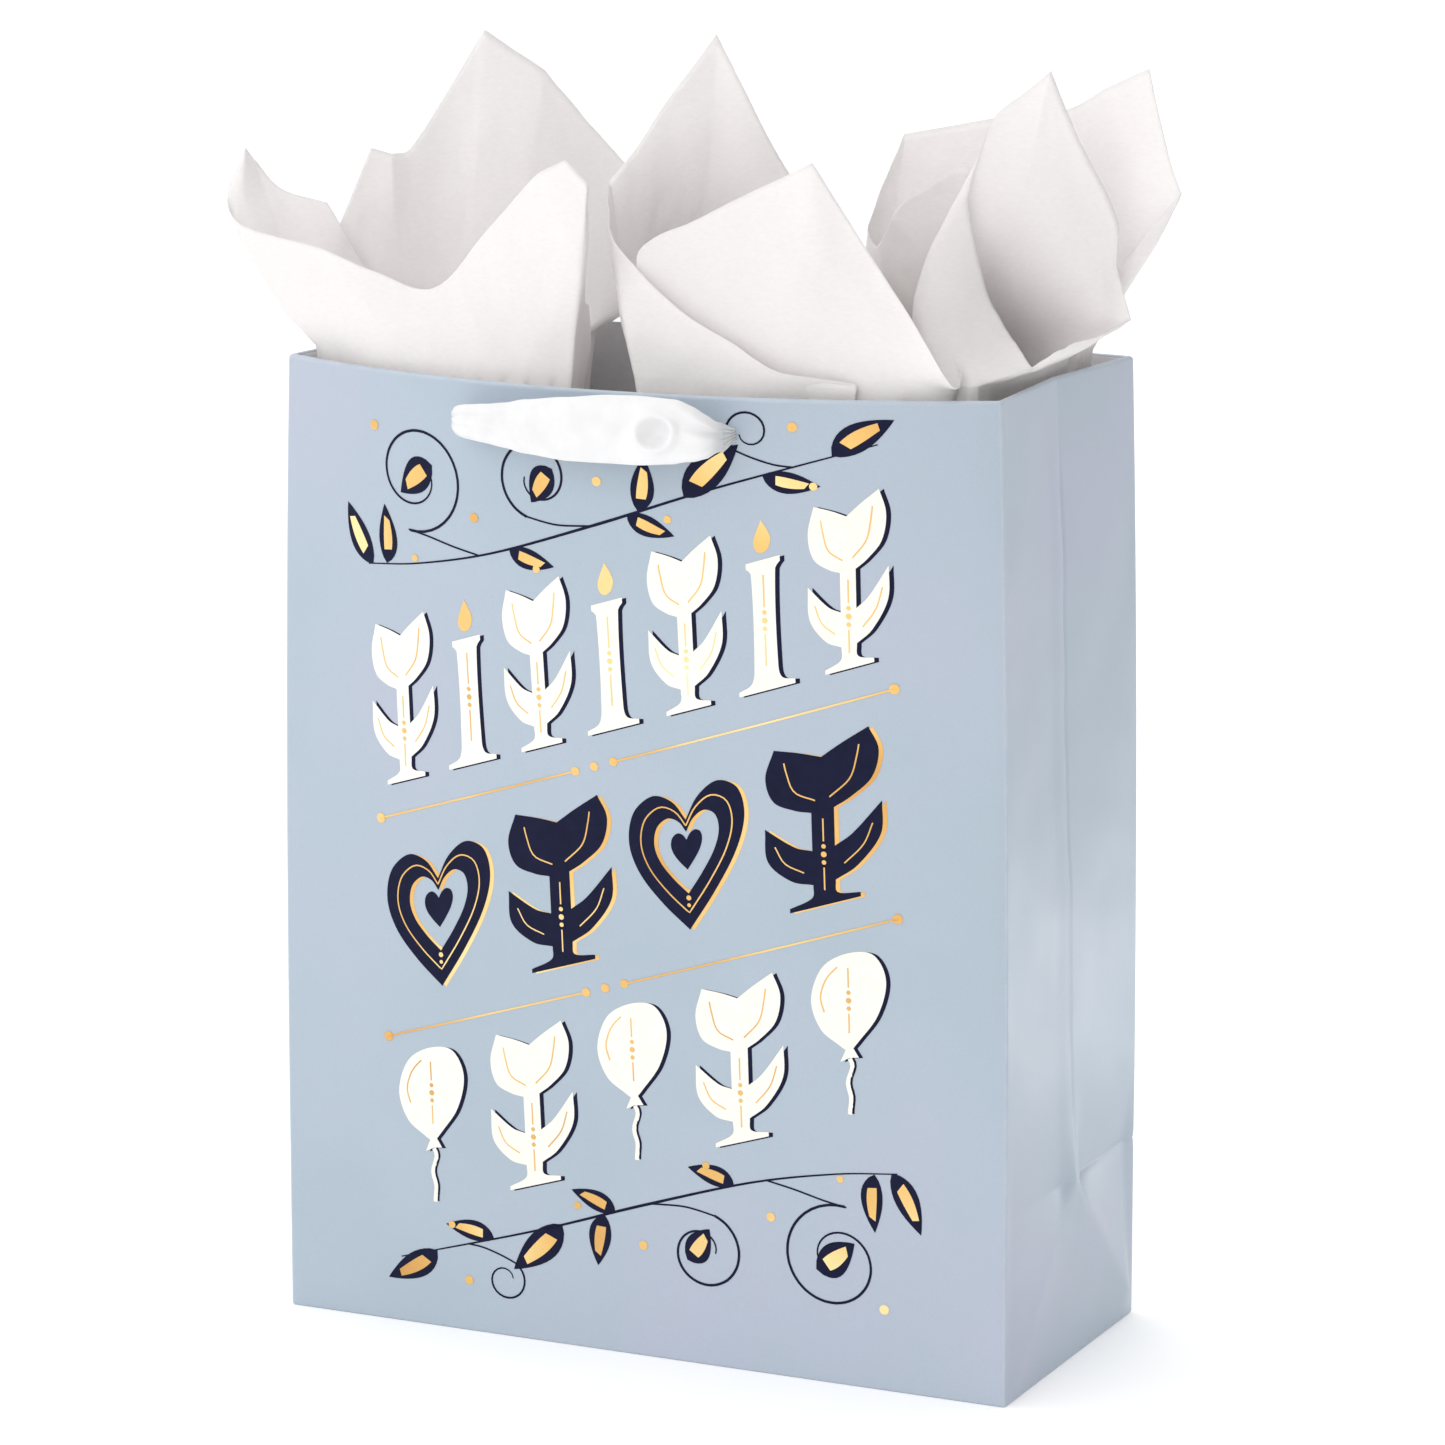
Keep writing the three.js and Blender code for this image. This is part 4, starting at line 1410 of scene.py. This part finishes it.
def add_centre_tissue():
    """The tall rolled point in the middle, and the wide flap folded before it."""
    columns = [
        ((84, -70), SOFT, (84, -70, 334)),
        ((60, -75), SOFT, (60, -76, 336), (59, -77, 338)),
        ((45, -77), SOFT, (44, -77, 340), (43, -76, 346)),
        ((30, -78), SOFT, (29, -78, 343), (28, -75, 353)),
        ((18, -78), SOFT, (17, -77, 346), (16, -72, 360)),
        ((11, -78), SOFT, (7, -76, 350), (5, -67, 367)),
        ((9, -77), SOFT, (3, -73, 352), (-6, -60, 374)),
        ((7, -72), SOFT, (-1, -67, 352), (-13, -50, 379)),
        ((4, -65), SOFT, (-6, -57, 354), (-19, -40, 385)),
        ((-2, -52), SHARP, (-12, -42, 358), (-23, -30, 389)),
        ((-10, -34), SOFT, (-13, -24, 366), (-17, -21, 400)),
        ((-22, -6), SOFT, (-12, -14, 374), (-9, -16, 414)),
        ((-32, 16), SHARP, (-2, -2, 378), (6, -8, 437)),
        ((-16, 30), SOFT, (10, 4, 376), (15, -4, 417)),
        ((6, 36), SOFT, (22, 10, 364), (25, 6, 392)),
        ((22, 42), SOFT, (36, 24, 350), (42, 18, 364)),
        ((42, 26), SOFT, (56, 10, 342), (62, 6, 350)),
        ((76, -4), SOFT, (84, -18, 340), (88, -24, 344)),
        ((102, -34), SOFT, (106, -42, 337), (108, -46, 340)),
        ((112, -56), SOFT, (114, -62, 334), (116, -67, 335)),
        ((104, -62), SOFT, (106, -65, 338), (109, -67, 344)),
        ((92, -66), SOFT, (95, -67, 345), (96, -65, 361)),
        ((78, -69), SOFT, (81, -69, 350), (82, -62, 378)),
        ((60, -71), SHARP, (63, -71, 355), (63, -58, 402)),
        ((42, -72), SOFT, (44, -71, 350), (42, -60, 392)),
        ((24, -73), SOFT, (25, -71, 346), (23, -62, 382)),
        ((12, -73), SOFT, (11, -71, 344), (9, -62, 376)),
        ((9, -74), SOFT, (6, -71, 343), (4, -64, 370)),
        ((16, -75), SOFT, (12, -73, 336), (10, -71, 346)),
        ((36, -75), SOFT, (35, -75, 335), (34, -75, 337)),
        ((64, -73), SOFT, (64, -73, 335)),
    ]
    add_tissue("centre_tissue", "centre_sheet", columns, 8.3, 30)


def add_right_front_tissue():
    """The narrow point at the right, rolled open towards the side."""
    columns = [
        ((117, -50), SOFT, (124, -44, 336), (130, -36, 338)),
        ((112, -54), SOFT, (113, -46, 338), (117, -22, 345)),
        ((106, -54), SOFT, (102, -42, 343), (106, -14, 355)),
        ((98, -48), SOFT, (93, -34, 350), (100, -10, 368)),
        ((90, -38), SHARP, (84, -22, 361), (95, -8, 387)),
        ((84, -28), SOFT, (84, -14, 366), (97, -4, 400)),
        ((76, -14), SOFT, (90, -6, 374), (101, 0, 413)),
        ((66, 6), SOFT, (97, 0, 376), (110, 4, 421)),
        ((70, 18), SHARP, (105, 5, 376), (118, 6, 428)),
        ((86, 22), SOFT, (113, 11, 370), (124, 15, 406)),
        ((102, 24), SOFT, (122, 19, 362), (133, 29, 378)),
        ((113, 24), SOFT, (128, 28, 350), (132, 32, 362)),
        ((118, 24), SHARP, (130, 32, 342), (136, 34, 345)),
        ((119, 12), SOFT, (127, 18, 337), (131, 24, 341)),
        ((119, -8), SOFT, (126, -8, 337), (129, -2, 341)),
        ((119, -32), SOFT, (125, -28, 336), (129, -22, 340)),
    ]
    add_tissue("right_front_tissue", "right_front_sheet", columns, 12.9, 34)


def add_right_rear_tissue():
    """The broad sheet along the back right, with two corners."""
    columns = [
        ((32, 46), SOFT, (38, 40, 346), (44, 30, 372)),
        ((42, 49), SHARP, (47, 42, 362), (53, 38, 402)),
        ((60, 49), SOFT, (63, 45, 364), (68, 41, 405)),
        ((76, 49), SOFT, (80, 47, 365), (83, 44, 408)),
        ((92, 48), SOFT, (97, 50, 368), (105, 52, 411)),
        ((104, 47), SOFT, (111, 52, 370), (120, 52, 419)),
        ((114, 46), SHARP, (125, 50, 368), (136, 48, 426)),
        ((119, 44), SOFT, (129, 48, 354), (143, 48, 397)),
        ((119, 41), SHARP, (128, 46, 350), (139, 46, 368), (148, 46, 386)),
        ((119, 37), SOFT, (126, 42, 346), (137, 44, 373)),
        ((118, 32), SOFT, (122, 38, 342), (128, 42, 361)),
        ((108, 30), SOFT, (111, 32, 340), (112, 34, 348)),
        ((96, 30), SOFT, (97, 24, 352), (98, 18, 378)),
        ((84, 30), SOFT, (82, 21, 356), (87, 12, 395)),
        ((70, 31), SOFT, (68, 24, 352), (72, 16, 389)),
        ((56, 33), SOFT, (56, 28, 350), (58, 22, 380)),
        ((44, 36), SOFT, (46, 31, 345), (49, 26, 366)),
    ]
    add_tissue("right_rear_tissue", "right_rear_sheet", columns, 17.3, 42)


add_left_rear_tissue()
add_left_front_tissue()
add_centre_tissue()
add_right_front_tissue()
add_right_rear_tissue()
